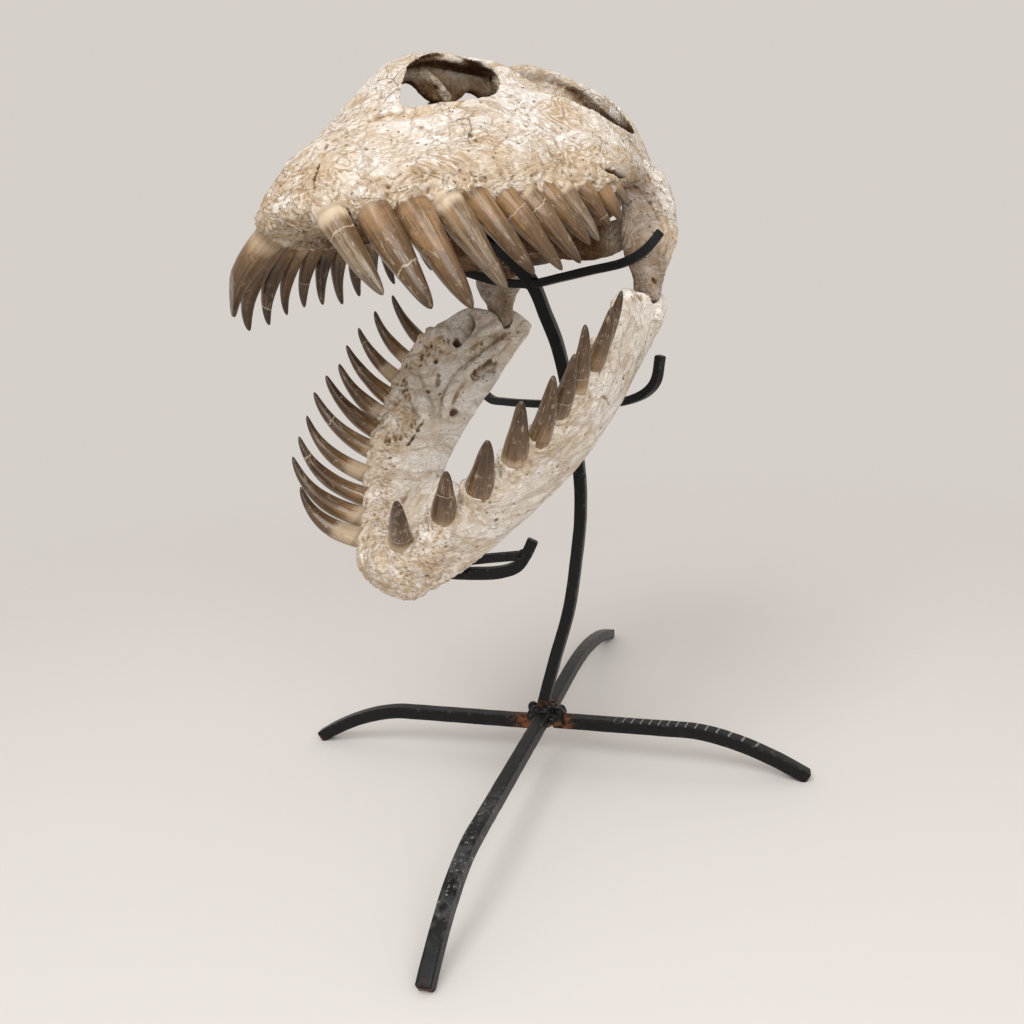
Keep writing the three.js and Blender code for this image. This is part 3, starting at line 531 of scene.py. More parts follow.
def turn_of(tilt, nod):
    """How the skull's or jaw's own frame is turned, as a matrix."""
    heading, tilt, nod = (Matrix.Rotation(math.radians(angle), 3, axis)
                          for angle, axis in ((SKULL_TURN, "Z"), (tilt, "Y"), (nod, "X")))
    return np.array(heading @ tilt @ nod)


def turned(points, tilt, nod):
    """Points of the skull's or jaw's own frame, in millimetres, moved to their place."""
    return points @ turn_of(tilt, nod).T + np.array(JAW_AXIS)


def turned_back(points, tilt, nod):
    """The reverse: placed points, in millimetres, as points of the skull's or jaw's own frame."""
    return (points - np.array(JAW_AXIS)) @ turn_of(tilt, nod)


SKULL, JAW = (SKULL_TILT, SKULL_NOD), (JAW_TILT, JAW_NOD)

# ---- Cranium ------------------------------------------------------------------------------------------

def dome():
    """The outer skin: half a superellipse above the gum line, and below it a palate whose height is the
    gum's, less a ridge along each edge, plus a vault in the middle."""
    rows = row_at(CRANIUM_ROWS, np.linspace(0, 1, 150))
    forward, half, roof, gum, exponent = (rows[:, k, None] for k in range(5))
    angle = np.linspace(0, np.pi, 90)
    upper = at(forward, half * power(np.cos(angle), 2 / exponent),
               gum + (roof - gum) * np.abs(np.sin(angle)) ** (2 / exponent))
    share = np.linspace(-1, 1, 50)[1:-1]
    inside = np.maximum(1 - share ** 2, 0)
    vault = PALATE_VAULT * np.minimum(half / FULL_VAULT_WIDTH, 1) * inside ** 2
    vault *= 1 - smoothstep(forward, *SNOUT_FLOOR)
    lower = at(forward, half * share, gum - GUM_RIDGE * np.sqrt(inside) + vault)
    return shell(np.concatenate([upper, lower], 1))


def hollow():
    """The space under the roof: the dome drawn in by the walls' thickness, on a level floor."""
    forward = np.linspace(*HOLLOW, 60)
    _, half, roof, gum, exponent = (column[:, None] for column in row_where(CRANIUM_ROWS, forward).T)
    floor = gum + PALATE_VAULT - 2
    end = np.minimum((HOLLOW[1] - forward) / HOLLOW_TAPER[1], (forward - HOLLOW[0]) / HOLLOW_TAPER[0])
    share = np.maximum(np.sqrt(np.clip(end, 0, 1)), HOLLOW_END)[:, None]
    angle = np.linspace(0, np.pi, 48)
    return shell(at(forward[:, None], (half - WALL) * share * power(np.cos(angle), 2 / exponent),
                    floor + (roof - ROOF - floor) * share * np.abs(np.sin(angle)) ** (2 / exponent)))


def passage(outline, reach, place):
    """A straight passage: the same smooth outline at two distances, put in place by a function."""
    a, b = closed_outline(outline, 60).T
    return shell(np.stack([place(a, b, np.full(len(a), float(distance))) for distance in reach]))


def openings():
    """The cutters of the openings over the jaw muscles, the muscles' passages, the eyes and the rear."""
    made = []
    for side in (1, -1):
        made += [
            passage(FENESTRA, (96, 220), lambda a, b, d: at(a, side * b, d)),
            passage(MUSCLE_PASSAGE, (20, 110), lambda a, b, d: at(a, side * b, d)),
            passage(EYE_SOCKET, (19, 110), lambda a, b, d: at(a, side * d, b)),
            passage(REAR_OPENING, (-90, -30), lambda a, b, d: at(d, side * a, b)),
        ]
    return made


def braincase():
    """The wall from the crest down to the braincase's floor: five widths at five heights on each side."""
    rows = row_at(BRAINCASE_ROWS, np.linspace(0, 1, 60))
    forward, crest, base, floor = rows.T
    roof = row_where(CRANIUM_ROWS, forward)[:, 2]
    out = np.stack([crest / 2, crest, crest + 3, base, base * 0.8], 1)
    up = np.stack([roof - 0.5, roof - 6, roof - 26, np.full(len(roof), 96.0), floor], 1)
    up = np.maximum(up, floor[:, None])
    t = np.linspace(0, 1, 24)
    column = np.stack([out, up], -1)
    side = np.stack([row_at(ring, t) for ring in column])
    left = at(forward[:, None], side[..., 0], side[..., 1])
    return shell(np.concatenate([left, left[:, ::-1] * (-1, 1, 1)], 1))


def rear_palate():
    """Flat above; below, the height follows a squared sine from the midline out to two hanging flanges."""
    rows = row_at(PALATE_ROWS, np.linspace(0, 1, 60))
    forward, half, middle, flange, top = (rows[:, k, None] for k in range(5))
    share = np.linspace(-1, 1, 60)
    dip = np.sin(np.pi * np.minimum(np.abs(share) / TROUGH, 1) / 2) ** 2
    lift = np.maximum(np.abs(share) - TROUGH, 0) / (1 - TROUGH)
    edge = middle + (flange - middle) * dip
    under = at(forward, half * share, edge + (top - edge) * 0.5 * lift)
    upper = at(forward, half * np.array([0.92, -0.92]), top)
    return shell(np.concatenate([under, upper], 1))


def oval_bone(centre, across, upward, sides, exponent):
    """A bone of oval rings, whose centres and two half-axes are given forward, out and up."""
    return shell(oval_rings(at(*centre), at(*across), at(*upward), sides, exponent))


def wing(side):
    """The bar from the palate out to the hinge bone, an oval carried along a table of places."""
    forward, out, up, length, thickness = row_at(WING_ROWS, np.linspace(0, 1, 40)).T
    return oval_bone((forward, side * out, up), (length, 0, 0), (0, 0, thickness), 24, 2.2)


def quadrate(side):
    """The hinge bone that hangs from the back of the cheek, an oval carried down a table of places."""
    up, forward, length, out, thickness = row_at(QUADRATE_ROWS, np.linspace(0, 1, 60)).T
    return oval_bone((forward, side * out, up), (length, 0, 0), (0, side * thickness, 0), 32, 2.4)


# ---- Teeth --------------------------------------------------------------------------------------------

def tooth_lines(name):
    """Where each tooth of a row stands: its socket, its reach to the tip, the way it bows, and its radius."""
    row = TOOTH_ROWS[name]
    side, forward = row["side"], np.array(row["sockets"], float)
    inset = np.where(np.arange(len(forward)) > 0, SOCKET_INSET, row.get("first_inset", SOCKET_INSET))
    share = np.linspace(0, 1, len(forward))
    lean = row["lean"][0] + (row["lean"][1] - row["lean"][0]) * share ** 0.9
    sweep = np.interp(share, (0, 0.5, 1), row["sweep"])
    if name.startswith("upper"):
        _, half, _, gum, _ = row_where(CRANIUM_ROWS, forward).T
        socket, upward = at(forward, side * (half - inset), gum - 2), -1
    else:
        _, out, up = row_where(JAW_ROWS, forward).T[:3]
        socket, upward = at(forward, side * (out - 2), up - 3), 1
    reach = at(sweep, side * lean, upward * np.array(row["crowns"], float))
    outward = at(0.7 - 0.6 * share, side * (0.6 + 0.4 * share), 0)
    outward /= np.linalg.norm(outward, axis=1)[:, None]
    return socket, reach, outward, np.array(row["radii"], float)


def tooth_frame(reach, outward):
    """The axis of a tooth, and the two directions across it."""
    axis = reach / np.linalg.norm(reach)
    across = np.cross(axis, outward)
    across /= np.linalg.norm(across)
    return axis, across, np.cross(across, axis)


def collars(name):
    """Sleeves of bone round the roots: an oval along each tooth's axis, widest near the gum."""
    made = []
    for socket, reach, outward, radius in zip(*tooth_lines(name)):
        axis, across, through = tooth_frame(reach, outward)
        t = np.linspace(-1, 1, 14)
        along = np.where(t < 0, t * COLLAR_DEPTH, t * COLLAR_RISE)
        round_off = np.sqrt(np.clip(1 - np.abs(t) ** 5, 0.02, 1))
        width = (radius * (1 - 0.06 * np.maximum(t, 0)) + COLLAR_WIDTH) * round_off
        made.append(shell(oval_rings(socket + axis * along[:, None], across * width[:, None],
                                     through * width[:, None] * TOOTH_FLATNESS, 24, 2)))
    return made


def teeth(name, bow):
    """One row of teeth: a flattened tube along a quadratic curve from the root to the tip, bowed outwards.
    Its radius falls with t^taper to the tip's share of the root's, and is rounded off there by the square
    root of 1 - t^20. Faint flutes, an oval that turns along the crown and a wave of its width make it
    uneven."""
    row = TOOTH_ROWS[name]
    rng = np.random.default_rng(len(name) + row["side"])
    shells, layers = [], {key: [] for key in ("along", "tone", "mend", "ring_x", "ring_y")}
    angle = np.arange(TOOTH_SIDES) * 2 * np.pi / TOOTH_SIDES
    t = np.linspace(0, 1, TOOTH_RINGS) ** 0.9
    fade = (smoothstep(t, 0.15, 0.3) * smoothstep(1 - t, 0.05, 0.3))[:, None]
    taper, tip = 1 - (1 - TOOTH_TIP) * t ** row["taper"], np.sqrt(np.clip(1 - t ** 20, 0.002, 1))
    for number, (socket, reach, outward, radius) in enumerate(zip(*tooth_lines(name))):
        axis, across, through = tooth_frame(reach, outward)
        length = np.linalg.norm(reach)
        root = socket - axis * ROOT_DEPTH
        middle = (root + socket + reach) / 2 + outward * bow * row["bow"] * length * rng.uniform(0.8, 1.25)
        spine = ((1 - t[:, None]) ** 2 * root + 2 * ((1 - t) * t)[:, None] * middle
                 + t[:, None] ** 2 * (socket + reach))
        flutes = 1 + 0.016 * np.cos(9 * angle + rng.uniform(0, 6))[None] * fade
        flutes = flutes + 0.035 * np.cos(2 * angle + rng.uniform(0, 6) + 2 * t[:, None])
        dent = 1 + 0.028 * np.sin(t[:, None] * rng.uniform(9, 14) + rng.uniform(0, 6))
        radii = (radius * taper * tip)[:, None] * flutes * dent
        rings = (spine[:, None] + across * (radii * np.cos(angle))[..., None]
                 + through * (radii * np.sin(angle) * TOOTH_FLATNESS)[..., None])
        shells.append(shell(rings))
        along = (t * (length + ROOT_DEPTH) - ROOT_DEPTH) / length
        size = len(shells[-1][0])
        mended = rng.choice([rng.uniform(0.25, 0.8), UNMENDED], p=(0.4, 0.6))
        for key, values in (
                ("along", np.concatenate([np.repeat(along, TOOTH_SIDES), along[:1], along[-1:]])),
                ("tone", np.full(size, (FIRST_TONE + number * GOLDEN) % 1)),
                ("mend", np.full(size, mended if number or row["side"] < 0 else FIRST_MEND)),
                ("ring_x", np.concatenate([np.tile(np.cos(angle), TOOTH_RINGS), [0, 0]])),
                ("ring_y", np.concatenate([np.tile(np.sin(angle), TOOTH_RINGS), [0, 0]]))):
            layers[key].append(values)
    points, faces = grown(shells)
    return points, faces, {key: np.concatenate(values) for key, values in layers.items()}


# ---- Lower jaw ----------------------------------------------------------------------------------------

def jaw_rim():
    """The two rami and the chin as one bar bent round the front: an oval between its upper and its lower
    edge, across the way the bar runs."""
    right = (JAW_ROWS * (1, -1, 1, 1, -1, 1, 1, 1))[:, [0, 1, 2, 3, 4, 7, 6]][::-1]
    rows = np.concatenate([JAW_ROWS[:, :7], CHIN_ROW, right])
    t = np.linspace(0, 1, 300)
    values = row_at(rows, t)
    along = row_at(rows, t + 0.005)[:, :2] - row_at(rows, t - 0.005)[:, :2]
    along /= np.linalg.norm(along, axis=1)[:, None]
    across = at(along[:, 1], -along[:, 0], 0) * values[:, 6, None]
    top, low = at(*values[:, 0:3].T), at(*values[:, 3:6].T)
    return shell(oval_rings((top + low) / 2, across, (top - low) / 2, 48, 2.5))


def chin_floor():
    """The shelf between the two rami at the chin, an oval carried forward."""
    forward, half, up, thickness = row_at(CHIN_FLOOR_ROWS, np.linspace(0, 1, 50)).T
    return oval_bone((forward, 0, up), (0, half, 0), (0, 0, thickness), 40, 2.4)


def hinge_cup(side):
    """The cup under the hinge bone, an oval carried up."""
    forward, out, up, length, width = row_at(HINGE_CUP_ROWS, np.linspace(0, 1, 12)).T
    return oval_bone((forward, side * out, up), (length, 0, 0), (0, side * width, 0), 32, 2.4)


# ---- Bars ---------------------------------------------------------------------------------------------

def swept_bar(line, width, side, grow=0.0):
    """A square bar: a square section with small round corners carried along a line. Two of its faces look
    along side, and each end draws in to a small bevel."""
    line = np.asarray(line, float)
    along = np.gradient(line, axis=0)
    along /= np.linalg.norm(along, axis=1)[:, None]
    across = np.asarray(side, float) - along * (along @ np.asarray(side, float))[:, None]
    across /= np.linalg.norm(across, axis=1)[:, None]
    upward = np.cross(along, across)
    half, corner, bevel = width / 2 + grow, ROUND_OFF * width, BAR_BEVEL * width
    arc = np.linspace(0, np.pi / 2, 5)
    quarter = np.stack([half - corner + corner * np.cos(arc), half - corner + corner * np.sin(arc)], -1)
    corners = [quarter, quarter[::-1] * (-1, 1), -quarter, quarter[::-1] * (1, -1)]
    steps = np.linspace(0.2, 0.8, 4)[:, None]
    section = np.concatenate([np.concatenate([one, one[-1] + (two[0] - one[-1]) * steps])
                              for one, two in zip(corners, corners[1:] + corners[:1])])
    rings = line[:, None] + across[:, None] * section[:, :1] + upward[:, None] * section[:, 1:]
    shrink = 1 - bevel / half
    first = line[0] + (rings[0] - line[0]) * shrink
    last = line[-1] + (rings[-1] - line[-1]) * shrink
    rings[0] += along[0] * bevel
    rings[-1] -= along[-1] * bevel
    return shell(np.concatenate([first[None], rings, last[None]]))


def leg_line(heading, reach, height, level, bend):
    """A leg's middle line: level from the hub, then falling by a power of the distance past that part."""
    angle = math.radians(heading)
    straight = level * reach
    slope = math.atan(bend * height / (reach - straight))
    drop = height + FOOT_DIP - 5 * math.cos(slope)
    out = np.linspace(0, reach, LEG_STEPS)
    past = np.maximum(out - straight, 0) / (reach - straight)
    return np.stack([out * math.cos(angle), out * math.sin(angle), height - drop * past ** bend], -1)


# ---- Shader trees -------------------------------------------------------------------------------------

class Value:
    """One output of a shader node. Arithmetic on it adds Math nodes to its tree."""

    def __init__(self, shade, socket):
        self.shade, self.socket = shade, socket

    def maths(self, operation, first, second=0.0):
        return self.shade.node("Math", {"operation": operation}, {0: first, 1: second})

    def __add__(self, other):
        return self.maths("ADD", self, other)

    __radd__ = __add__

    def __sub__(self, other):
        return self.maths("SUBTRACT", self, other)

    def __rsub__(self, other):
        return self.maths("SUBTRACT", other, self)

    def __mul__(self, other):
        return self.maths("MULTIPLY", self, other)

    __rmul__ = __mul__

    def __abs__(self):
        return self.maths("ABSOLUTE", self)

    def sine(self):
        return self.shade.node("Math", {"operation": "SINE"}, {0: self})

    def most(self, other):
        return self.maths("MAXIMUM", self, other)


class Shade:
    """A material and its node tree."""

    def __init__(self, name):
        self.material = bpy.data.materials.new(name)
        self.material.use_nodes = True
        self.tree = self.material.node_tree
        self.tree.nodes.clear()
        self.place = self.node("TexCoord", output="Object")

    def node(self, kind, settings=None, sockets=None, output=0):
        """Adds a node: its settings first, then numbers, colours or links for its sockets."""
        made = self.tree.nodes.new("ShaderNode" + kind)
        for key, value in (settings or {}).items():
            setattr(made, key, value)
        for key, value in (sockets or {}).items():
            if isinstance(value, Value):
                self.tree.links.new(value.socket, made.inputs[key])
            else:
                made.inputs[key].default_value = value
        return Value(self, made.outputs[output])

    def mix(self, share, first, second):
        """One colour turning into another."""
        first, second = (c if isinstance(c, Value) else (*c[:3], 1) for c in (first, second))
        return self.node("Mix", {"data_type": "RGBA"}, {0: share, 6: first, 7: second}, output=2)

    def coated(self, colour, coats):
        """A colour under several coats. Each turns a share of what lies under it into another colour."""
        for share, coat in coats:
            colour = self.mix(share, colour, coat)
        return colour

    def step(self, value, low, high):
        """0 below low, 1 above high."""
        return self.node("MapRange", {"interpolation_type": "SMOOTHSTEP"}, {0: value, 1: low, 2: high})

    def layer(self, name):
        """A number stored at the piece's points."""
        return self.node("Attribute", {"attribute_name": name}, output="Fac")

    def grain(self, size, detail, rough=0.55, place=None, twist=0.0):
        """Noise with bumps of a size in metres."""
        return self.node("TexNoise", {}, {"Vector": place or self.place, "Scale": 1 / size, "Detail": detail,
                                          "Roughness": rough, "Distortion": twist}, output="Fac")

    def patches(self, low, high, *grain):
        """Patches with soft edges: 0 where the noise is below low, 1 where it is above high."""
        return self.step(self.grain(*grain), low, high)

    def stretched(self, scale, turn, place):
        """Coordinates drawn out along an axis."""
        return self.node("Mapping", {}, {"Vector": place, "Rotation": turn, "Scale": scale})

    def warped(self, size, reach):
        """Coordinates pushed about by noise, so that lines in them wander."""
        noise_at = {"Vector": self.place, "Scale": 1 / size, "Detail": 2.0}
        push = self.node("TexNoise", {}, noise_at, output="Color")
        centred = self.node("VectorMath", {"operation": "SUBTRACT"}, {0: push, 1: (0.5, 0.5, 0.5)})
        moved = self.node("VectorMath", {"operation": "SCALE"}, {0: centred, "Scale": reach})
        return self.node("VectorMath", {"operation": "ADD"}, {0: self.place, 1: moved})

    def crest(self, value, sharp):
        """Lines where noise crosses its middle: 1 on the line, 0 away from it."""
        return 1 - self.step(abs(value - 0.5) * sharp, 0.0, 1.0)

    def holes(self, spacing, radius, place):
        """Round pits: 1 in the middle of each, 0 outside."""
        away = self.node("TexVoronoi", {}, {"Vector": place, "Scale": 1 / spacing}, output="Distance")
        return 1 - self.step(away, 0.0, radius / spacing)

    def bumped(self, height, depth):
        """A normal from heights of 0 to 1 that stand for a depth in metres."""
        return self.node("Bump", {}, {"Height": height, "Distance": depth})

    def finish(self, **sockets):
        """Ends the tree in a Principled shader."""
        values = {key.replace("_", " "): value for key, value in sockets.items()}
        surface = self.node("BsdfPrincipled", {}, values)
        end = self.tree.nodes.new("ShaderNodeOutputMaterial")
        self.tree.links.new(surface.socket, end.inputs["Surface"])
        return self.material


def bone_finish(name, sizes, stain, smooth):
    """Matt fossil bone: white and cream patches, paler flakes with tan rims, ochre stains along the grain,
    tan lines that wind like the grain round a knot, hairline cracks and dark pits, and painted shade in tan
    and brown in the hollows and on the insides. smooth weakens the lines and adds long scratches."""
    shade = Shade(name)
    grime, inner, root, mark, rugged = map(shade.layer, ("grime", "inner", "root", "mark", "rugged"))
    wander, ragged = shade.warped(0.030, 0.014), shade.warped(0.008, 0.006)
    flow = shade.stretched((1.0, 0.55, 1.0), (0.35, 0.0, 0.2), wander)
    slanting = shade.stretched((1.0, 0.10, 0.5), (0.9, 0.0, 0.15), wander)
    clean = shade.patches(0.42, 0.57, 0.045, 4.0, 0.62, wander)
    stains = shade.patches(0.46, 0.64, 0.024, 5.0, 0.65, flow, 0.6)
    patch = shade.patches(0.38, 0.58, 0.026, 3.0, 0.55, wander)
    winding = (shade.grain(0.026, 3.0, 0.5, flow, 0.7) * 85.0).sine()
    grooves = (1 - shade.step(winding, -0.95, 0.0)) * (0.2 + patch * 0.8)
    fine = shade.crest(shade.grain(0.0046, 3.0, 0.6, flow, 0.6), 9.0)
    scratches = shade.crest(shade.grain(0.010, 1.0, 0.5, slanting), 14.0)
    holes = (shade.holes(0.0042, 0.0009, wander) * shade.patches(0.45, 0.55, 0.022, 2.0)).most(
        shade.holes(0.0120, 0.0017, wander) * shade.patches(0.48, 0.56, 0.03, 2.0, 0.5, flow))
    split = shade.node("TexVoronoi", {"feature": "DISTANCE_TO_EDGE"}, {"Vector": wander, "Scale": 24.0})
    cracks = (1 - shade.step(split, 0.003, 0.013)) * shade.patches(0.55, 0.63, 0.03, 3.0, 0.6)
    speckle = shade.grain(0.0014, 3.0, 0.7)
    flakes = {"Vector": ragged, "Scale": 85.0}
    chip = shade.node("TexVoronoi", {"feature": "F1"}, flakes, output="Color")
    rim = shade.node("TexVoronoi", {"feature": "DISTANCE_TO_EDGE"}, flakes)
    flaking = shade.patches(0.46, 0.56, 0.035, 3.0, 0.6, wander, 0.2)
    chipped = (1 - shade.step(rim, 0.01, 0.06)) * flaking
    # The colour of the painted shade on the insides and undersides: brown mottled with tan.
    inner_shade_colour = shade.mix(shade.patches(0.40, 0.80, 0.014, 5.0, 0.68, wander), sizes.brown, sizes.tan)
    colour = shade.coated(sizes.cream, (
        (clean.most(shade.step(patch, 0.2, 0.7) * smooth * 0.9), sizes.white),
        (shade.step(chip, 0.45, 0.60) * flaking * 0.7, sizes.white),
        (stains * stain, sizes.ochre),
        (rugged * shade.patches(0.38, 0.60, 0.012, 4.0, 0.6) * 0.8, sizes.ochre),
        (rugged * shade.patches(0.50, 0.60, 0.004, 4.0, 0.65) * 0.55, sizes.tan),
        (root * 0.3, sizes.cream),
        (grooves * (0.46 - 0.34 * smooth), sizes.tan),
        (chipped * (0.40 - 0.45 * smooth), sizes.tan),
        (shade.step(winding, 0.3, 1.0) * patch * 0.5, sizes.white),
        (fine * (0.32 - 0.12 * smooth), sizes.tan),
        (scratches * 0.45 * smooth, sizes.tan),
        # Painted shade: tan in the hollows, by how hollow the surface is.
        (shade.step(grime, 0.10, 0.75) * 0.8, sizes.tan),
        # Painted shade on the insides and undersides.
        (inner, inner_shade_colour),
        # Painted shade: brown in the deepest hollows.
        (shade.step(grime, 0.5, 1.4) * 0.85, sizes.brown),
        ((holes * 0.85).most(cracks * (0.42 - 0.3 * smooth)).most(mark), sizes.dark),
        (shade.step(speckle, 0.35, 0.75) * 0.15, sizes.tan),
    ))
    height = (winding * (0.2 - 0.14 * smooth) + chip * flaking * 0.5 - chipped * 0.4 + fine * -0.3
              - holes * 1.2 - cracks * 0.8 + speckle * 0.2 - scratches * 0.2)
    return shade.finish(
        Base_Color=colour, Roughness=0.60 + speckle * 0.3, Specular_IOR_Level=0.22,
        Normal=shade.bumped(height, sizes.relief))


def tooth_finish(name, sizes, row_shade, bare):
    """Glossy enamel with lengthwise streaks: a pale root, a tan neck, grey-brown above, a dark tip, cloudy
    brown patches, fine checks, pale mended cracks across some crowns, and a painted shadow line where the
    tooth meets the gum. The third argument is the row's painted shade, which darkens it and dims its pale
    bands and roots, and bare is how far up the pale root shows."""
    shade = Shade(name)
    along, tone, mend, ring_x, ring_y = map(shade.layer, ("along", "tone", "mend", "ring_x", "ring_y"))
    broad, thin = (shade.node("CombineXYZ", {}, {
        "X": ring_x * around, "Y": ring_y * around, "Z": along * up + tone * apart,
    }) for around, up, apart in ((1.7, 0.9, 40.0), (6.0, 1.6, 90.0)))
    bands, streaks = shade.grain(1.0, 4.0, 0.6, broad, 0.3), shade.grain(1.0, 3.0, 0.6, thin, 0.2)
    clouds, blots = shade.grain(0.012, 4.0, 0.6), shade.grain(0.0045, 4.0, 0.6)
    climb = along + (clouds - 0.5) * 0.5 + (bands - 0.5) * 0.9 + (tone - 0.5) * 0.4
    # A row in painted shade shows fewer pale bands.
    pale = max(0.0, 1 - 2.5 * row_shade)
    border = along + (bands - 0.5) * 0.14 + (blots - 0.5) * 0.08 + (tone - 0.5) * 0.08
    reach = (tone + 0.25) * (tone + 0.25) * bare * 1.5
    root = shade.step(reach - border, -0.02, 0.09) * shade.step(tone + bare * 2.4, 0.65, 0.95)
    gap = abs(along - mend + (clouds - 0.5) * 0.12 + (bands - 0.5) * 0.08)
    crack = 1 - shade.step(gap, 0.003, 0.014)
    checks = shade.crest(shade.grain(1.0, 2.0, 0.6, broad), 40.0) * shade.step(clouds, 0.50, 0.58)
    # Painted shadow: a thin dark line where the tooth goes into the gum.
    edge = 1 - shade.step(abs(along + (clouds - 0.5) * 0.1 - 0.02), 0.0, 0.05)
    colour = shade.coated(sizes.neck, (
        (shade.step(climb, 0.05, 0.55), sizes.enamel),
        (shade.step(climb, 0.58, 1.08), sizes.tip),
        (shade.step(bands, 0.40, 0.58) * shade.step(tone, 0.5, 0.95) * 0.4 * pale, sizes.root),
        # Painted shade: the row's crowns darken towards the tip colour.
        ((1.15 - tone) * shade.step(along + tone * -0.2, -0.2, 0.3) * row_shade * 0.75, sizes.tip),
        (shade.step(streaks, 0.50, 0.72) * 0.5, sizes.tip),
        ((1 - shade.step(streaks, 0.32, 0.46)) * 0.35, sizes.neck),
        (shade.step(clouds, 0.47, 0.62) * 0.55, sizes.enamel),
        (shade.step(blots, 0.60, 0.68) * 0.22, sizes.root),
        (root * (0.35 + clouds * 1.1) * (1 - 0.5 * row_shade), sizes.root),
        (crack * blots * 1.1, sizes.root),
        (checks * 0.4, sizes.root),
        # The painted shadow line at the gum.
        (edge * 0.3, sizes.tip),
    ))
    height = streaks * 0.6 + blots * 0.25 - crack * 0.9 - checks * 0.4
    return shade.finish(
        Base_Color=colour, Roughness=0.24 + root * 0.4 + crack * 0.3 + blots * 0.16, Specular_IOR_Level=0.3,
        Coat_Weight=0.45 - root * 0.4, Coat_Roughness=0.08, Normal=shade.bumped(height, 0.0004))


def paint_finish(name, sizes, gloss):
    """Black paint on forged bar: brush and hammer unevenness, scuffs along the edges, grey where it is worn,
    pale slanting nicks where the ticks layer says so, and rust by the welds and on the cut ends."""
    shade = Shade(name)
    edge, rust, worn, ticks = map(shade.layer, ("edge", "rust", "worn", "ticks"))
    rough, dents = shade.grain(0.004, 4.0, 0.6), shade.grain(0.018, 2.0, 0.5)
    slant = shade.node(
        "VectorMath", {"operation": "DOT_PRODUCT"}, {0: shade.place, 1: (0.80, 0.55, 0.9)}, output="Value")
    nicks = shade.step((slant * 930.0).sine(), 0.80, 0.97)
    colour = shade.coated(sizes.paint, (
        (shade.patches(0.55, 0.8, 0.02, 4.0, 0.6) * 0.25, sizes.dust),
        (edge * shade.step(rough, 0.54, 0.68) * 0.4, sizes.scuff),
        (worn * shade.step(dents * 0.5 + rough * 0.5, 0.44, 0.60) * 0.5, sizes.scuff),
        (worn * shade.patches(0.60, 0.66, 0.0030, 4.0, 0.65) * 0.5, sizes.bare),
        (ticks * nicks * 0.5, sizes.bare),
        (rust * shade.step(rough, 0.42, 0.60) * 0.85, sizes.rust),
    ))
    return shade.finish(
        Base_Color=colour, Roughness=gloss + rough * 0.2 + rust * 0.3, Specular_IOR_Level=0.2,
        Normal=shade.bumped(rough * 0.3 + dents * 0.7 + nicks * ticks * 0.5, 0.0004))


# ---- Settings -----------------------------------------------------------------------------------------

def colour_setting(name, description, default):
    """A colour that a user can change."""
    return bpy.props.FloatVectorProperty(
        name=name, description=description, default=default, size=3, min=0, max=1, subtype="COLOR")


def length_setting(name, description, default):
    """A length in metres that a user can change."""
    return bpy.props.FloatProperty(name=name, description=description, default=default, min=0, unit="LENGTH")


def number_setting(name, description, default):
    """A plain number that a user can change."""
    return bpy.props.FloatProperty(name=name, description=description, default=default, min=0)


class FossilBone(bpy.types.PropertyGroup):
    skull_voxel: length_setting("Skull grid", "Size of the cranium's mesh faces", 0.00120)
    jaw_voxel: length_setting("Jaw grid", "Size of the lower jaw's mesh faces", 0.0011)
    relief: length_setting("Fine relief", "Depth of the finest ridges and pits", 0.0009)
    white: colour_setting("White", "Clean bone", (0.89, 0.86, 0.815))
    cream: colour_setting("Cream", "Most of the bone", (0.71, 0.635, 0.53))
    ochre: colour_setting("Ochre", "Stains that follow the grain", (0.57, 0.42, 0.245))
    # Tan is the grooves' dirt and also painted shade in the hollows and on the insides; brown is painted
    # shade alone, on the insides, the undersides and the deep hollows.
    tan: colour_setting("Tan", "Dirt in the grooves", (0.32, 0.21, 0.118))
    brown: colour_setting("Brown", "Insides and deep hollows", (0.075, 0.030, 0.008))
    dark: colour_setting("Dark", "Pits and open cracks", (0.035, 0.02, 0.012))


class FossilTeeth(bpy.types.PropertyGroup):
    bow: number_setting("Bow", "Multiplies the curve of the crowns", 1)
    root: colour_setting("Root", "Chalky roots and mended cracks", (0.66, 0.54, 0.39))
    neck: colour_setting("Neck", "Enamel near the root", (0.31, 0.185, 0.088))
    enamel: colour_setting("Enamel", "Middle of the crown", (0.115, 0.064, 0.028))
    # Tip is also painted shade: the darker rows and the shadow line at the gum.
    tip: colour_setting("Tip", "Dark tips and streaks", (0.026, 0.012, 0.005))


class FossilStand(bpy.types.PropertyGroup):
    leg_bar: length_setting("Leg bar", "Square bar of the legs", 0.010)
    post_bar: length_setting("Post bar", "Square bar of the post", 0.009)
    chin_bar: length_setting("Chin bar", "Square bar of the chin cradle", 0.008)
    light_bar: length_setting("Light bar", "Square bar of the arms, spine and brace", 0.006)
    paint: colour_setting("Paint", "Black satin paint", (0.006, 0.006, 0.0065))
    dust: colour_setting("Dust", "Dusty paint", (0.022, 0.022, 0.024))
    scuff: colour_setting("Scuff", "Rubbed edges", (0.10, 0.10, 0.10))
    bare: colour_setting("Bare", "Scratches down to pale metal", (0.42, 0.42, 0.41))
    rust: colour_setting("Rust", "Rust by the welds and on cut ends", (0.24, 0.085, 0.028))


class FossilStage(bpy.types.PropertyGroup):
    floor: colour_setting("Floor", "Pale studio floor", (0.735, 0.718, 0.702))
    wall: colour_setting("Background", "Light and colour all round", (0.672, 0.627, 0.588))
    fade_start: length_setting("Fade start", "How far out the floor starts to fade into the background", 0.30)
    fade_end: length_setting("Fade end", "How far out the floor is gone", 1.25)
    key: number_setting("Key light", "Power of the main soft light, in watts", 20)
    fill: number_setting("Fill light", "Power of the second soft light, in watts", 16)


# ---- Pieces -------------------------------------------------------------------------------------------

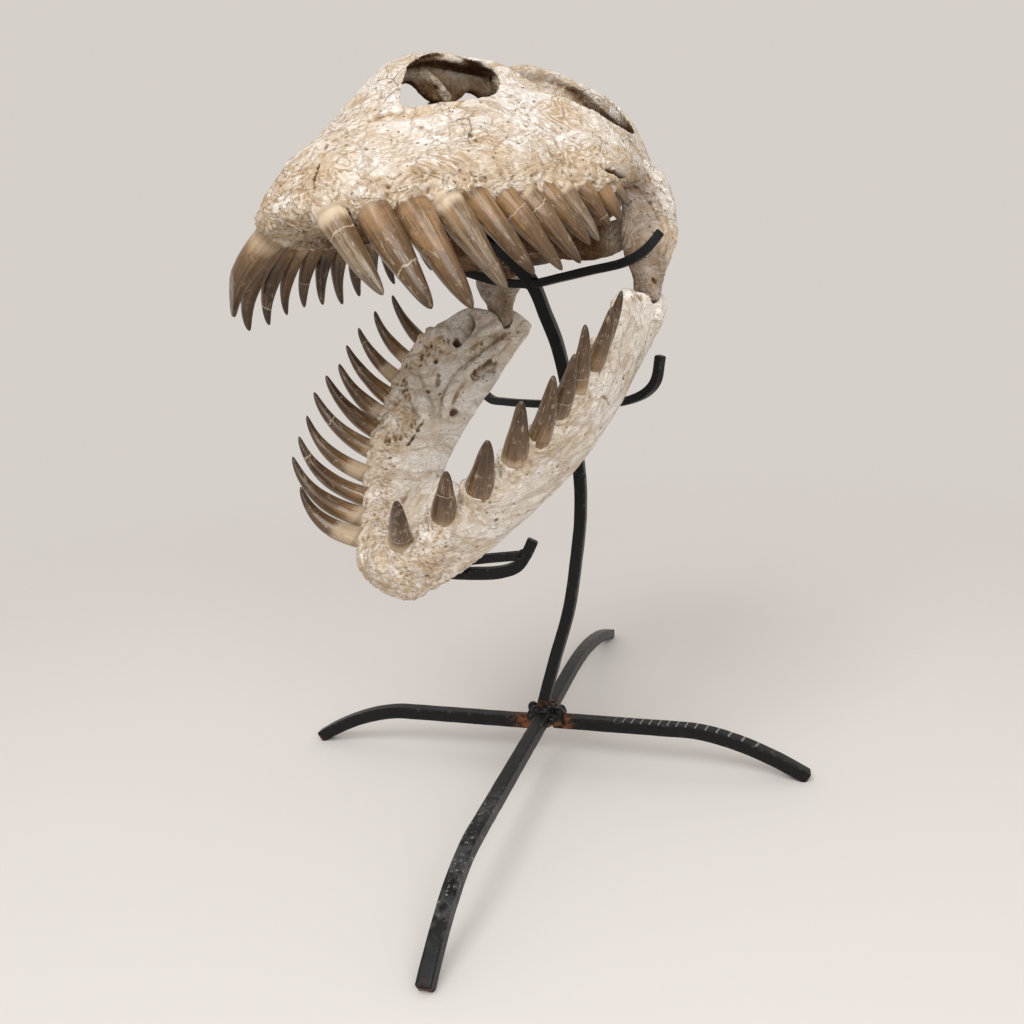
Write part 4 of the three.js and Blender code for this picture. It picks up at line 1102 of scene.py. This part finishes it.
def bars():
    """Every bar of the stand but its legs: its line, the width of its stock, and the way its faces look."""
    stand = bpy.context.scene.fossil_stand
    post, light, chin = stand.post_bar / MM, stand.light_bar / MM, stand.chin_bar / MM
    return {
        "post": (smooth_line(POST, 180), post, (1, 1, 0)),
        "upper_cradle": (smooth_line(UPPER_CRADLE, 110), light, (0, 0, 1)),
        "jaw_arm": (smooth_line(JAW_ARM, 120), light, (0, 0, 1)),
        "chin_cradle": (smooth_line(CHIN_CRADLE, 90), chin, (0, 0, 1)),
        "spine": (smooth_line(SPINE, 60), light, (1, 0, 0)),
        "brace": (smooth_line(BRACE, 20), light, (0, 0, 1)),
    }


def clear_of_stand(piece, frame_turns):
    """Takes the stand's bars, thickened by the clearance, out of a bone that is still in its own frame."""
    for line, width, side in bars().values():
        points, faces = swept_bar(line, width, side, grow=GAP)
        combined(piece, new_object("room", turned_back(points, *frame_turns), faces), "DIFFERENCE")


def near_line(points, line):
    """The distance of points from a line through a few places."""
    places = smooth_line(line, 40)
    return np.sqrt(np.min([((points - place) ** 2).sum(1) for place in places], axis=0))


# Open cracks and seams on both sides of the cranium: a line (forward, out, up), its half-width, depth and
# darkness.
SEAMS = (
    (((230, 8, 99), (222, 5, 108), (214, 9, 115), (208, 13, 118), (198, 21, 123), (190, 23, 127)),
     1.3, 2.2, 0.9),
    (((218, 42, 88), (216, 39, 95), (211, 34, 107), (201, 30, 117), (190, 23, 128)), 1.6, 2.0, 0.9),
    (((88, 84, 122), (79, 90, 114), (70, 94, 105)), 1.0, 2.0, 0.9),
    (((46, 104, 84), (37, 106, 80), (25, 105, 76)), 3.0, 4.0, 0.9),
)
# Ridges and grooves of the same kind: along the snout and the cheeks, under the snout, and on the hinge
# bones. A depth below 0 stands out.
SNOUT_RIDGES = (
    (((200, 20, 124), (182, 27, 132), (164, 37, 138), (148, 50, 139)), 4.5, -2.2, 0),
    (((186, 60, 98), (170, 70, 100), (150, 80, 102), (128, 86, 104)), 6.0, -1.2, 0),
    (((100, 88, 118), (84, 92, 112), (62, 98, 104), (44, 100, 100)), 6.0, -1.4, 0),
    (((150, 60, 124), (138, 74, 116), (120, 84, 110)), 5.0, 1.2, 0),
    (((224, -16, 82), (208, -32, 80), (188, -44, 78)), 2.6, -2.6, 0),
    (((218, 6, 80), (198, -6, 77), (170, -22, 78)), 2.4, -2.4, 0),
    (((212, -8, 79), (194, -24, 77), (176, -38, 77)), 3.0, 2.0, 0),
    (((8, 96, 76), (-6, 95, 62), (-14, 94, 44), (-6, 96, 28)), 4.5, -2.4, 0),
    (((4, 100, 26), (-4, 99, 17), (2, 99, 8)), 3.5, -2.2, 0),
    (((10, 98, 12), (6, 100, 6)), 2.6, 3.0, 0.8),
)
# The same on the lower jaw: hollows and grooves of the right ramus's inner face, pores on the left one's
# outer face, and the seam of the chin.
JAW_MARKS = (
    (((60, -80, 0), (46, -79, -8)), 9.0, 2.6, 0.25),
    (((102, -75, 6), (98, -75, 4)), 4.5, 2.6, 0.35),
    (((46, -93, 23), (43, -93, 22)), 4.5, 5.0, 0.8),
    (((70, -92, 28), (84, -90, 22)), 4.0, 1.6, 0.2),
    (((150, -70, 30), (132, -74, 27), (118, -78, 24)), 2.2, 2.0, 0.4),
    (((91, 99, 0), (89, 98, -1)), 2.4, 4.0, 0.9),
    (((96, 112, 30), (92, 109, 16), (90, 104, 4)), 3.0, 1.2, 0.1),
    (((224, 40, 30), (212, 50, 24), (196, 58, 20)), 2.0, 1.0, 0.1),
    (((236, 0, 12), (240, -4, 30), (238, -8, 46)), 2.0, 1.5, 0.3),
)
# Knobs of the lower jaw: forward, out, up, and three half-sizes (out, forward, up). Then ridges: a line and
# two radii. Then hollows, like the knobs, and crusts: a place and a radius.
JAW_KNOBS = (
    (25, 100, 31, 7, 9, 7), (33, 103, 37, 5, 6, 5), (63, -107, 43, 5, 5, 6), (57, -103, 45, 6, 4, 6),
    (50, -99, 43, 6, 4, 7), (44, -96, 37, 5, 5, 7), (54, -96, 34, 6, 4, 10), (62, -99, 31, 5, 5, 8),
    (134, -85, 38, 9, 18, 12), (150, -86, 46, 8, 9, 7),
)
JAW_RODS = (
    (((84, -104, 41), (94, -98, 36), (103, -90, 30), (116, -80, 20)), (7, 5)),
    (((118, -71, 8), (98, -77, 13), (84, -80, 14), (68, -82, 10), (50, -81, 3), (35, -79, -3), (14, -76, -9)),
     (4.2, 3.6)),
    (((46, -89, 19), (34, -84, 15), (24, -82, 10), (12, -79, 2)), (4, 3.5)),
)
JAW_HOLLOWS = ((32, 92, 27, 4.2, 15, 15), (27, 84, 25, 6, 15, 9), (10, 99, 19, 7, 6, 6))
JAW_CRUSTS = ((55, -104, 38, 18), (136, -84, 40, 20), (160, -76, 42, 14), (182, -62, 44, 14))

# Parts that the two big bones are divided into: a name and two corners of a box in the bone's own frame.
# After them, the nodes that each part stands for.
SKULL_PARTS = (
    ("snout_bone", (-200, -300, -100), (200, -150, 300)),
    ("face_bone", (-200, -150, -100), (200, -44, 300)),
    ("rear_skull_bone", (-200, -44, -100), (200, 200, 300)),
)
SKULL_NODES = (("snout",), ("left_upper_jaw", "right_upper_jaw", "skull_roof", "palate"),
               ("left_cheek", "right_cheek", "left_quadrate", "right_quadrate", "braincase"))
JAW_PARTS = (
    ("chin_bone", (-200, -300, -100), (200, -196, 200)),
    ("left_jaw_bone", (0, -196, -100), (200, 200, 200)),
    ("right_jaw_bone", (-200, -196, -100), (0, 200, 200)),
)
JAW_NODES = (("chin",), ("left_ramus", "left_jaw_hinge"), ("right_ramus", "right_jaw_hinge"))
BONE_CREASE, BAR_CREASE = 75, 38    # edges sharper than this, in degrees, stay sharp
# Sizes of the bone's relief: swellings and lumps, winding ridges, two nets of ridges, and the crust.
SWELLINGS, LUMPS, WINDING, NET, FINE_NET, CRUST, FINE_CRUST = 42, 15, 30, 9.0, 4.6, 7.5, 3.8
PIT_SPACING, PIT_RADIUS, PIT_SHARE, PIT_DEPTH = 8.0, 1.7, 0.35, 1.3


def cavities(mesh, rounds):
    """How hollow the surface is at each point: how far its smoothed self lies outside it, in millimetres."""
    points, normals = points_of(mesh), normals_of(mesh)
    return ((averaged(mesh, points, rounds) - points) * normals).sum(1)


def near_sockets(points, names):
    """1 on the collars round the teeth, falling to 0 away from them."""
    close = np.zeros(len(points))
    for name in names:
        for socket, reach, _, radius in zip(*tooth_lines(name)):
            axis = reach / np.linalg.norm(reach)
            away = points - socket
            along = away @ axis
            across = np.linalg.norm(away - along[:, None] * axis, axis=1)
            inside = 1 - smoothstep(across, radius + 2, radius + 8)
            close = np.maximum(close, inside * (1 - smoothstep(np.abs(along), 7, 18)))
    return close


def lines_of(table, sign=1):
    """The lines of a table as places in a bone's own frame, with the rest of each row after them."""
    return [(at(*(np.array(line, float) * (1, sign, 1)).T), *rest) for line, *rest in table]


def weather(piece, sockets, swell, net, marks, inner_shade_of, rugged_of):
    """Gives a smooth bone its relief and the layers that its material reads: broad swellings, winding ridges,
    a crust where it is rugged, pits, and the lines of a table, all moved along the surface normal. swell and
    net scale the first two."""
    mesh = piece.data
    points, normals = points_of(mesh), normals_of(mesh)
    wander = points + 5 * np.stack([noise(points, 24, 3.1 + k) for k in range(3)], -1)
    flow = wander * (1, 0.5, 1)
    inner, close = inner_shade_of(points, normals), near_sockets(points, sockets)
    rugged = np.clip(rugged_of(points) + 0.8 * close, 0, 1)
    patch = 0.4 + 0.6 * smoothstep(noise(points, 36, 9), -0.3, 0.3)
    height = swell * (layered(points, SWELLINGS, 2) + 0.5 * layered(points, LUMPS, 2, 4)) * (1 - 0.5 * inner)
    lines = 0.22 * whorls(flow, WINDING, 9) + ridges(flow, NET) * 0.55 + ridges(flow, FINE_NET, 5) * 0.4 - 0.4
    height += net * lines * patch
    height += rugged * (1.1 * (ridges(wander, CRUST, 2) - 0.4) + 0.9 * (ridges(wander, FINE_CRUST, 8) - 0.4))
    height += rugged * 0.6 * noise(wander, FINE_NET, 6)
    hole = pits(points, PIT_SPACING, PIT_RADIUS, PIT_SHARE) * (1 - close * 0.6)
    height -= PIT_DEPTH * hole
    mark = np.zeros(len(points))
    moved = points + 1.4 * noise(points, 10, 1.7)[:, None]
    uneven = 0.55 + 0.6 * np.abs(noise(points, 6, 2.2))
    for line, width, depth, dark in marks:
        cut = 1 - smoothstep(near_line(moved, line), width * uneven * 0.3, width * uneven * 1.4)
        height -= depth * cut
        mark = np.maximum(mark, dark * smoothstep(cut, 0.35, 0.9))
    set_points(mesh, points + normals * height[:, None])
    # Painted shade for the material: how hollow the surface is, where its smoothed self lies outside it, next
    # to the layer of painted shade on the insides and undersides.
    hollowness = averaged(mesh, cavities(mesh, 10) * 1.5 + cavities(mesh, 60) * 0.28, 1)[:, 0]
    paint(mesh, grime=np.clip(hollowness, 0, 3), inner=inner, mark=np.maximum(mark, hole * 0.4), root=close,
          rugged=rugged)


def place(piece, turns):
    """Moves a piece from the skull's or jaw's own frame to its place, in metres. Points past the part's box
    are pressed back to its faces: 2.7 mm on the first upper right tooth, 0.2 mm on the roof."""
    set_points(piece.data, np.clip(turned(points_of(piece.data), *turns) * MM, *cad_box))


def skull_level(points):
    """1 on the dome's skin and less inside it: the left side of the superellipse's equation."""
    rows = row_where(CRANIUM_ROWS, -points[:, 1])
    _, half, roof, gum, exponent = rows.T
    up = np.clip((points[:, 2] - gum) / (roof - gum), 0, None)
    return np.clip(np.abs(points[:, 0]) / half, 0, 2) ** exponent + up ** exponent


def skull_inner_shade(points, normals):
    """Painted shade, brown, on the cranium's insides, 0 to 1: under the skin, where a wall faces the middle,
    and on the palate between the tooth rows. Less on the hinge bones, the crest, the back and the snout's
    underside, and none on the strut between the eyes."""
    forward, out, up = -points[:, 1], np.abs(points[:, 0]), points[:, 2]
    rows = row_where(CRANIUM_ROWS, forward)
    level = skull_level(points)
    away = (points - at(forward, 0, rows[:, 3] + 15)) * (1, 0, 1)
    facing = (away * normals).sum(1) / np.linalg.norm(away, axis=1)
    deep = np.maximum(1 - smoothstep(level, 0.66, 0.90), smoothstep(-facing, 0.0, 0.4) * (level < 0.98))
    deep *= 1 - smoothstep(forward, 150, 180) * (1 - smoothstep(up - rows[:, 3], 2, 12))
    # Painted shade on the palate below the gum line, between the tooth rows, weaker towards the snout's tip.
    under = smoothstep(rows[:, 3] + 4 - up, 0, 10) * (1 - smoothstep(out / rows[:, 1], 0.70, 0.92))
    under *= 0.85 - 0.40 * smoothstep(forward, 150, 185) - 0.3 * smoothstep(forward, 196, 214)
    hinge = (1 - smoothstep(forward, 24, 40)) * smoothstep(out, 56, 74) * (1 - smoothstep(up, 74, 92))
    crest = smoothstep(up, 125, 160) * (1 - smoothstep(forward, 40, 50))
    strut = 1 - smoothstep(near_line(points, at(*np.array(EYE_STRUT).T)), 3.2, 4.6)
    rear = smoothstep(-forward, 36, 56) * smoothstep(normals[:, 1], 0.0, 0.6)
    inner = np.maximum(deep, under) * (1 - 0.6 * hinge) * (1 - 0.6 * rear)
    inner = np.maximum(inner, 0.6 * hinge * smoothstep(forward, -22, 4))
    return np.clip(inner * (1 - 0.85 * crest) * (1 - strut), 0, 1)


def skull_rugged(points):
    """The crusty tip of the snout, and the margin above the teeth."""
    forward, up = -points[:, 1], points[:, 2]
    margin = 1 - smoothstep(up - row_where(CRANIUM_ROWS, forward)[:, 3], 8, 26)
    return np.maximum(smoothstep(forward, 196, 214), 0.4 * margin * smoothstep(forward, 30, 60))


def finished(pieces, finish, nodes):
    """Shades the parts of a bone, gives them their material, and hides the nodes that they stand for."""
    for piece, names in zip(pieces, nodes):
        smooth_shaded(piece.data, BONE_CREASE)
        piece.data.materials.clear()
        piece.data.materials.append(finish)
        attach(piece, "root")
        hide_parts(*names)


class FOSSIL_OT_cranium(bpy.types.Operator):
    """The cranium in three bones: snout, face and back of the skull"""
    bl_idname = "fossil.cranium"
    bl_label = "Cranium"

    def execute(self, context):
        bone = context.scene.fossil_bone
        shape = new_object("cranium", *dome())
        for cutter in [hollow()] + openings():
            combined(shape, new_object("cutter", *cutter), "DIFFERENCE")
        rest = [braincase(), rear_palate(), ball(*CONDYLE), wing(1), wing(-1), quadrate(1), quadrate(-1)]
        rest += [passage(SEPTUM, (-SEPTUM_THICKNESS, SEPTUM_THICKNESS), lambda a, b, d: at(a, d, b))]
        rest += [rod(EYE_STRUT, STRUT_RADII)] + collars("upper_left") + collars("upper_right")
        others = new_object("others", *grown(rest))
        with context.temp_override(active_object=shape, selected_editable_objects=[shape, others]):
            bpy.ops.object.join()
        remeshed(shape, bone.skull_voxel / MM)
        set_points(shape.data, averaged(shape.data, points_of(shape.data), rounds=5))
        marks = lines_of(SEAMS) + lines_of(SEAMS, -1) + lines_of(SNOUT_RIDGES) + lines_of(SNOUT_RIDGES, -1)
        weather(shape, ("upper_left", "upper_right"), swell=1.0, net=0.9, marks=marks, inner_shade_of=skull_inner_shade,
                rugged_of=skull_rugged)
        clear_of_stand(shape, SKULL)
        parts = divided(shape, SKULL_PARTS)
        for part in parts:
            place(part, SKULL)
        finish = bone_finish("fossil_bone", bone, stain=0.8, smooth=0.0)
        finished(parts, finish, SKULL_NODES)
        return {"FINISHED"}


def jaw_inner_shade(points, normals):
    """A faint painted shade, tan, on the faces of the two rami that look towards the middle."""
    inward = -normals[:, 0] * np.sign(points[:, 0])
    return 0.02 * smoothstep(inward, 0.1, 0.7) * smoothstep(np.abs(points[:, 0]), 20, 40)


def jaw_rugged(points):
    """The crusty chin, the margins by the teeth, and the crust on the inside of the right ramus."""
    forward, out, up = -points[:, 1], points[:, 0], points[:, 2]
    chin = smoothstep(forward, 196, 232)
    crust = sum(1 - smoothstep(np.linalg.norm((points - at(f, o, u)) / (1, 1.4, 1), axis=1), 0.6 * r, r)
                for f, o, u, r in JAW_CRUSTS)
    margin = smoothstep(up, 30, 44) * smoothstep(forward, 40, 60) * (out < 0)
    return np.clip(chin * 0.9 + crust + 0.45 * margin, 0, 1)


class FOSSIL_OT_lower_jaw(bpy.types.Operator):
    """The lower jaw: two rami, the chin and its shelf, and the cups of the jaw joint"""
    bl_idname = "fossil.lower_jaw"
    bl_label = "Lower jaw"

    def execute(self, context):
        bone = context.scene.fossil_bone
        solids = [jaw_rim(), chin_floor(), hinge_cup(1), hinge_cup(-1)]
        solids += collars("lower_left") + collars("lower_right")
        solids += [ball((out, -forward, up), radii) for forward, out, up, *radii in JAW_KNOBS]
        solids += [rod(line, radii) for line, radii in JAW_RODS]
        shape = new_object("lower_jaw", *grown(solids))
        remeshed(shape, bone.jaw_voxel / MM)
        for side in (1, -1):
            knob, faces = quadrate(side)
            middle = knob.mean(0)
            knob = turned_back(turned(middle + (knob - middle) * 1.04, *SKULL), *JAW)
            combined(shape, new_object("knob", knob, faces), "DIFFERENCE")
            for forward, out, up, *radii in JAW_HOLLOWS:
                pit = ball((side * out, -forward, up), radii, 32)
                combined(shape, new_object("hollow", *pit), "DIFFERENCE")
        remeshed(shape, bone.jaw_voxel / MM)
        set_points(shape.data, averaged(shape.data, points_of(shape.data), rounds=4))
        weather(shape, ("lower_left", "lower_right"), swell=0.9, net=0.5, marks=lines_of(JAW_MARKS),
                inner_shade_of=jaw_inner_shade, rugged_of=jaw_rugged)
        clear_of_stand(shape, JAW)
        parts = divided(shape, JAW_PARTS)
        for part in parts:
            place(part, JAW)
        finish = bone_finish("fossil_jaw_bone", bone, stain=0.30, smooth=0.85)
        finished(parts, finish, JAW_NODES)
        return {"FINISHED"}


class FOSSIL_OT_teeth(bpy.types.Operator):
    """The four rows of teeth"""
    bl_idname = "fossil.teeth"
    bl_label = "Teeth"

    def execute(self, context):
        sizes = context.scene.fossil_teeth
        for name, row in TOOTH_ROWS.items():
            turns = SKULL if name.startswith("upper") else JAW
            points, faces, layers = teeth(name, sizes.bow)
            piece = new_object(name + "_teeth", points, faces)
            place(piece, turns)
            paint(piece.data, **layers)
            finish = tooth_finish(name + "_enamel", sizes, row["row_shade"], row["bare"])
            finished([piece], finish, [()])
        return {"FINISHED"}


def nowhere(points):
    """The amount of a wear that a bar doesn't have."""
    return np.zeros(len(points))


def bar_piece(name, line, width, side, finish, nodes, rust=nowhere, worn=nowhere, ticks=nowhere, floor=False):
    """One bar of the stand as a finished piece. Each wear is a function of the bar's points."""
    swept, faces = swept_bar(line, width, side)
    nearest = np.concatenate([np.argmin(((swept[k:k + 4000, None] - line[None]) ** 2).sum(-1), 1)
                              for k in range(0, len(swept), 4000)])
    away = swept - line[nearest]
    distance = np.linalg.norm(away, axis=1)
    points = swept + away / np.maximum(distance, 1e-6)[:, None] * (0.16 * noise(swept, 13)[:, None])
    if floor:
        points[:, 2] = np.maximum(points[:, 2], 0)
    piece = new_object(name, points * MM, faces)
    on_top = smoothstep(away[:, 2] - np.hypot(away[:, 0], away[:, 1]), -0.06 * width, 0.02 * width)
    paint(piece.data, edge=smoothstep(distance / (width / 2), 1.16, 1.33), rust=rust(swept), worn=worn(swept),
          ticks=ticks(swept) * on_top)
    smooth_shaded(piece.data, BAR_CREASE)
    piece.data.materials.append(finish)
    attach(piece, "root")
    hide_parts(*nodes)


def rust_at(spots):
    """Rust that fades away from a few spots, each a place and a reach."""
    def amount(points):
        away = [(np.linalg.norm(points - np.array(spot, float), axis=1), reach) for spot, reach in spots]
        return np.max([1 - smoothstep(distance, 0.35 * reach, reach) for distance, reach in away], axis=0)
    return amount


def span(reach, start, rise, fall, end):
    """1 over a stretch of a leg, given as shares of its reach, and 0 towards both of its ends."""
    def amount(points):
        out = np.linalg.norm(points[:, :2], axis=1) / reach
        return smoothstep(out, start, rise) * (1 - smoothstep(out, fall, end))
    return amount


class FOSSIL_OT_legs(bpy.types.Operator):
    """The four bent legs, ground flat where they stand"""
    bl_idname = "fossil.legs"
    bl_label = "Legs"

    def execute(self, context):
        stand = context.scene.fossil_stand
        finish = paint_finish("black_paint", stand, gloss=0.30)
        for name, sizes in LEGS.items():
            line = leg_line(*sizes)
            side = (-math.sin(math.radians(sizes[0])), math.cos(math.radians(sizes[0])), 0)
            spots = [((0, 0, HUB[2] - 4), LEG_RUST[name]), (line[-1], 7)]
            worn = span(sizes[1], 0.42, 0.6, 0.88, 0.97) if name == "stand_leg_front" else nowhere
            ticks = span(sizes[1], 0.22, 0.34, 0.78, 0.9) if name == "stand_leg_left" else nowhere
            bar_piece(name.replace("stand_", "") + "_bar", line[LEG_START:], stand.leg_bar / MM, side, finish,
                      [name], rust_at(spots), worn, ticks, floor=True)
        return {"FINISHED"}


class FOSSIL_OT_hub(bpy.types.Operator):
    """The lumpy weld where the legs and the post meet, and the weld beads on the post"""
    bl_idname = "fossil.hub"
    bl_label = "Welds"

    def execute(self, context):
        finish = paint_finish("weld_paint", context.scene.fossil_stand, gloss=0.14)
        rng = np.random.default_rng(5)
        beads = [ball(HUB, HUB_RADII, 32)]
        for heading in (45, 135, 225, 314.5):
            angle = math.radians(heading)
            for turn in np.linspace(-1, 1, 4):
                spot = np.array([math.cos(angle) * LEG_BEADS - math.sin(angle) * BEADS_BESIDE * turn,
                                 math.sin(angle) * LEG_BEADS + math.cos(angle) * BEADS_BESIDE * turn,
                                 HUB[2] + 4.5 - 3 * turn * turn])
                beads.append(ball(spot + rng.normal(0, 0.5, 3), 4.0 + rng.uniform(0, 1.2, 3), 16))
        for turn in np.arange(5) * math.tau / 5:
            spot = np.array([BEADS_ROUND * math.cos(turn), -5 + BEADS_ROUND * math.sin(turn), HUB[2] + 8])
            beads.append(ball(spot + rng.normal(0, 0.6, 3), 3.8 + rng.uniform(0, 1.2, 3), 16))
        post = smooth_line(POST, 400)
        joints = []
        for line in (UPPER_CRADLE, JAW_ARM):
            path = smooth_line(line, 300)
            apart = np.linalg.norm(path[:, None] - post[None], axis=2)
            spot = path[np.argmin(apart.min(1))]
            for side, height in itertools.product((1, -1), (-2.0, 0.5, 2.5)):
                centre = spot + np.array([side * 6.0, 0, height])
                joints.append(ball(centre + rng.normal(0, 0.5, 3), 2.1 + rng.uniform(0, 0.9, 3), 16))
        for spot in (CHIN_CRADLE[4], CHIN_CRADLE[5], BRACE[0], POST[6]):
            joints.append(ball(np.array(spot) + rng.normal(0, 0.3, 3), CRADLE_BEADS, 20))
        for name, solids, nodes in (("hub_weld", beads, ["stand_hub"]), ("weld_beads", joints, [])):
            piece = new_object(name, *grown(solids))
            remeshed(piece, WELD_VOXEL)
            set_points(piece.data, averaged(piece.data, points_of(piece.data), rounds=9))
            points, normals = points_of(piece.data), normals_of(piece.data)
            lumps = (0.3 * noise(points, 5) + 0.12 * noise(points, 2))[:, None]
            set_points(piece.data, (points + normals * lumps) * MM)
            none = np.zeros(len(points))
            paint(piece.data, edge=none + 0.3, worn=none, ticks=none,
                  rust=0.8 * smoothstep(HUB[2] + 2 - points[:, 2], 0, 7) if name == "hub_weld" else none)
            finished([piece], finish, [nodes])
        return {"FINISHED"}


class FOSSIL_OT_arms(bpy.types.Operator):
    """The post, the two cradles, the jaw arm, the spine and the brace"""
    bl_idname = "fossil.arms"
    bl_label = "Post and arms"

    def execute(self, context):
        stand = context.scene.fossil_stand
        finish = paint_finish("black_arm_paint", stand, gloss=0.30)
        made = bars()
        bar_piece("post_bar", *made["post"], finish, ["stand_post"], rust_at([((0, -4, 42), 14)]))
        for key, part in (("upper_cradle", "upper"), ("jaw_arm", "jaw")):
            line, width, side = made[key]
            middle = np.argmin(np.abs(line[:, 0]))
            for name, half in (("right", line[:middle]), ("left", line[middle:])):
                bar_piece(f"{part}_arm_{name}_bar", half, width, side, finish, [f"stand_{part}_arm_{name}"])
        for key in ("chin_cradle", "spine", "brace"):
            bar_piece(key + "_bar", *made[key], finish, ["stand_" + key])
        return {"FINISHED"}


class FOSSIL_OT_stage(bpy.types.Operator):
    """A plain pale floor, soft light and the camera"""
    bl_idname = "fossil.stage"
    bl_label = "Stage"

    def execute(self, context):
        scene, sizes = context.scene, context.scene.fossil_stage
        angle = np.arange(FLOOR_SIDES) * np.pi / (FLOOR_SIDES // 2)
        radius = np.linspace(*FLOOR_RADII, FLOOR_RINGS)[:, None]
        level = np.zeros((FLOOR_RINGS, FLOOR_SIDES))
        points, faces = shell(np.stack([radius * np.cos(angle), radius * np.sin(angle), level], -1))
        keep = (faces < level.size).all(1) | (faces == level.size).any(1)
        floor = new_object("floor", points[:-1], faces[keep])
        if floor.data.polygons[0].normal.z < 0:
            floor.data.flip_normals()
        shade = Shade("studio_floor")
        away = shade.node("VectorMath", {"operation": "LENGTH"}, {0: shade.place}, output="Value")
        floor.data.materials.append(shade.finish(
            Base_Color=(*sizes.floor, 1), Roughness=0.8, Specular_IOR_Level=0.1,
            Alpha=1 - shade.step(away, sizes.fade_start, sizes.fade_end)))
        world = bpy.data.worlds.new("studio")
        world.use_nodes = True
        world.node_tree.nodes["Background"].inputs["Color"].default_value = (*sizes.wall, 1)
        scene.world = world
        for name, (spot, size) in LAMPS.items():
            light = bpy.data.lights.new(name, "AREA")
            light.energy, light.size = getattr(sizes, name), size
            aim = (Vector(spot) - Vector((0, 0, LAMP_AIM))).to_track_quat("Z", "Y").to_matrix().to_4x4()
            linked(name, light).matrix_world = Matrix.Translation(spot) @ aim
        lens = bpy.data.cameras.new("camera")
        lens.sensor_width, lens.lens = CAMERA_SENSOR, CAMERA_LENS
        camera = linked("camera", lens)
        heading, tilt, roll = (math.radians(turn) for turn in CAMERA_TURNS)
        camera.matrix_world = (Matrix.Translation(CAMERA_AT) @ Matrix.Rotation(heading, 4, "Z")
                               @ Matrix.Rotation(tilt, 4, "X") @ Matrix.Rotation(roll, 4, "Z"))
        scene.camera = camera
        scene.view_settings.view_transform = "Standard"
        return {"FINISHED"}


PIECES = (FOSSIL_OT_legs, FOSSIL_OT_hub, FOSSIL_OT_arms, FOSSIL_OT_teeth, FOSSIL_OT_lower_jaw,
          FOSSIL_OT_cranium, FOSSIL_OT_stage)
SETTINGS = {"fossil_bone": FossilBone, "fossil_teeth": FossilTeeth, "fossil_stand": FossilStand,
            "fossil_stage": FossilStage}


class FOSSIL_PT_panel(bpy.types.Panel):
    """Lists the pieces"""
    bl_idname = "FOSSIL_PT_panel"
    bl_label = "Fossil skull"
    bl_space_type = "VIEW_3D"
    bl_region_type = "UI"
    bl_category = "Fossil"

    def draw(self, context):
        for piece in PIECES:
            self.layout.operator(piece.bl_idname)
        for name, group in SETTINGS.items():
            box = self.layout.box()
            for key in group.__annotations__:
                box.prop(getattr(context.scene, name), key)


def register():
    for made in (*SETTINGS.values(), *PIECES, FOSSIL_PT_panel):
        bpy.utils.register_class(made)
    for name, group in SETTINGS.items():
        setattr(bpy.types.Scene, name, bpy.props.PointerProperty(type=group))


def unregister():
    for name in SETTINGS:
        delattr(bpy.types.Scene, name)
    for made in reversed((*SETTINGS.values(), *PIECES, FOSSIL_PT_panel)):
        bpy.utils.unregister_class(made)


def main():
    register()
    for piece in PIECES:
        group, name = piece.bl_idname.split(".")
        getattr(getattr(bpy.ops, group), name)()


if __name__ == "__main__":
    main()
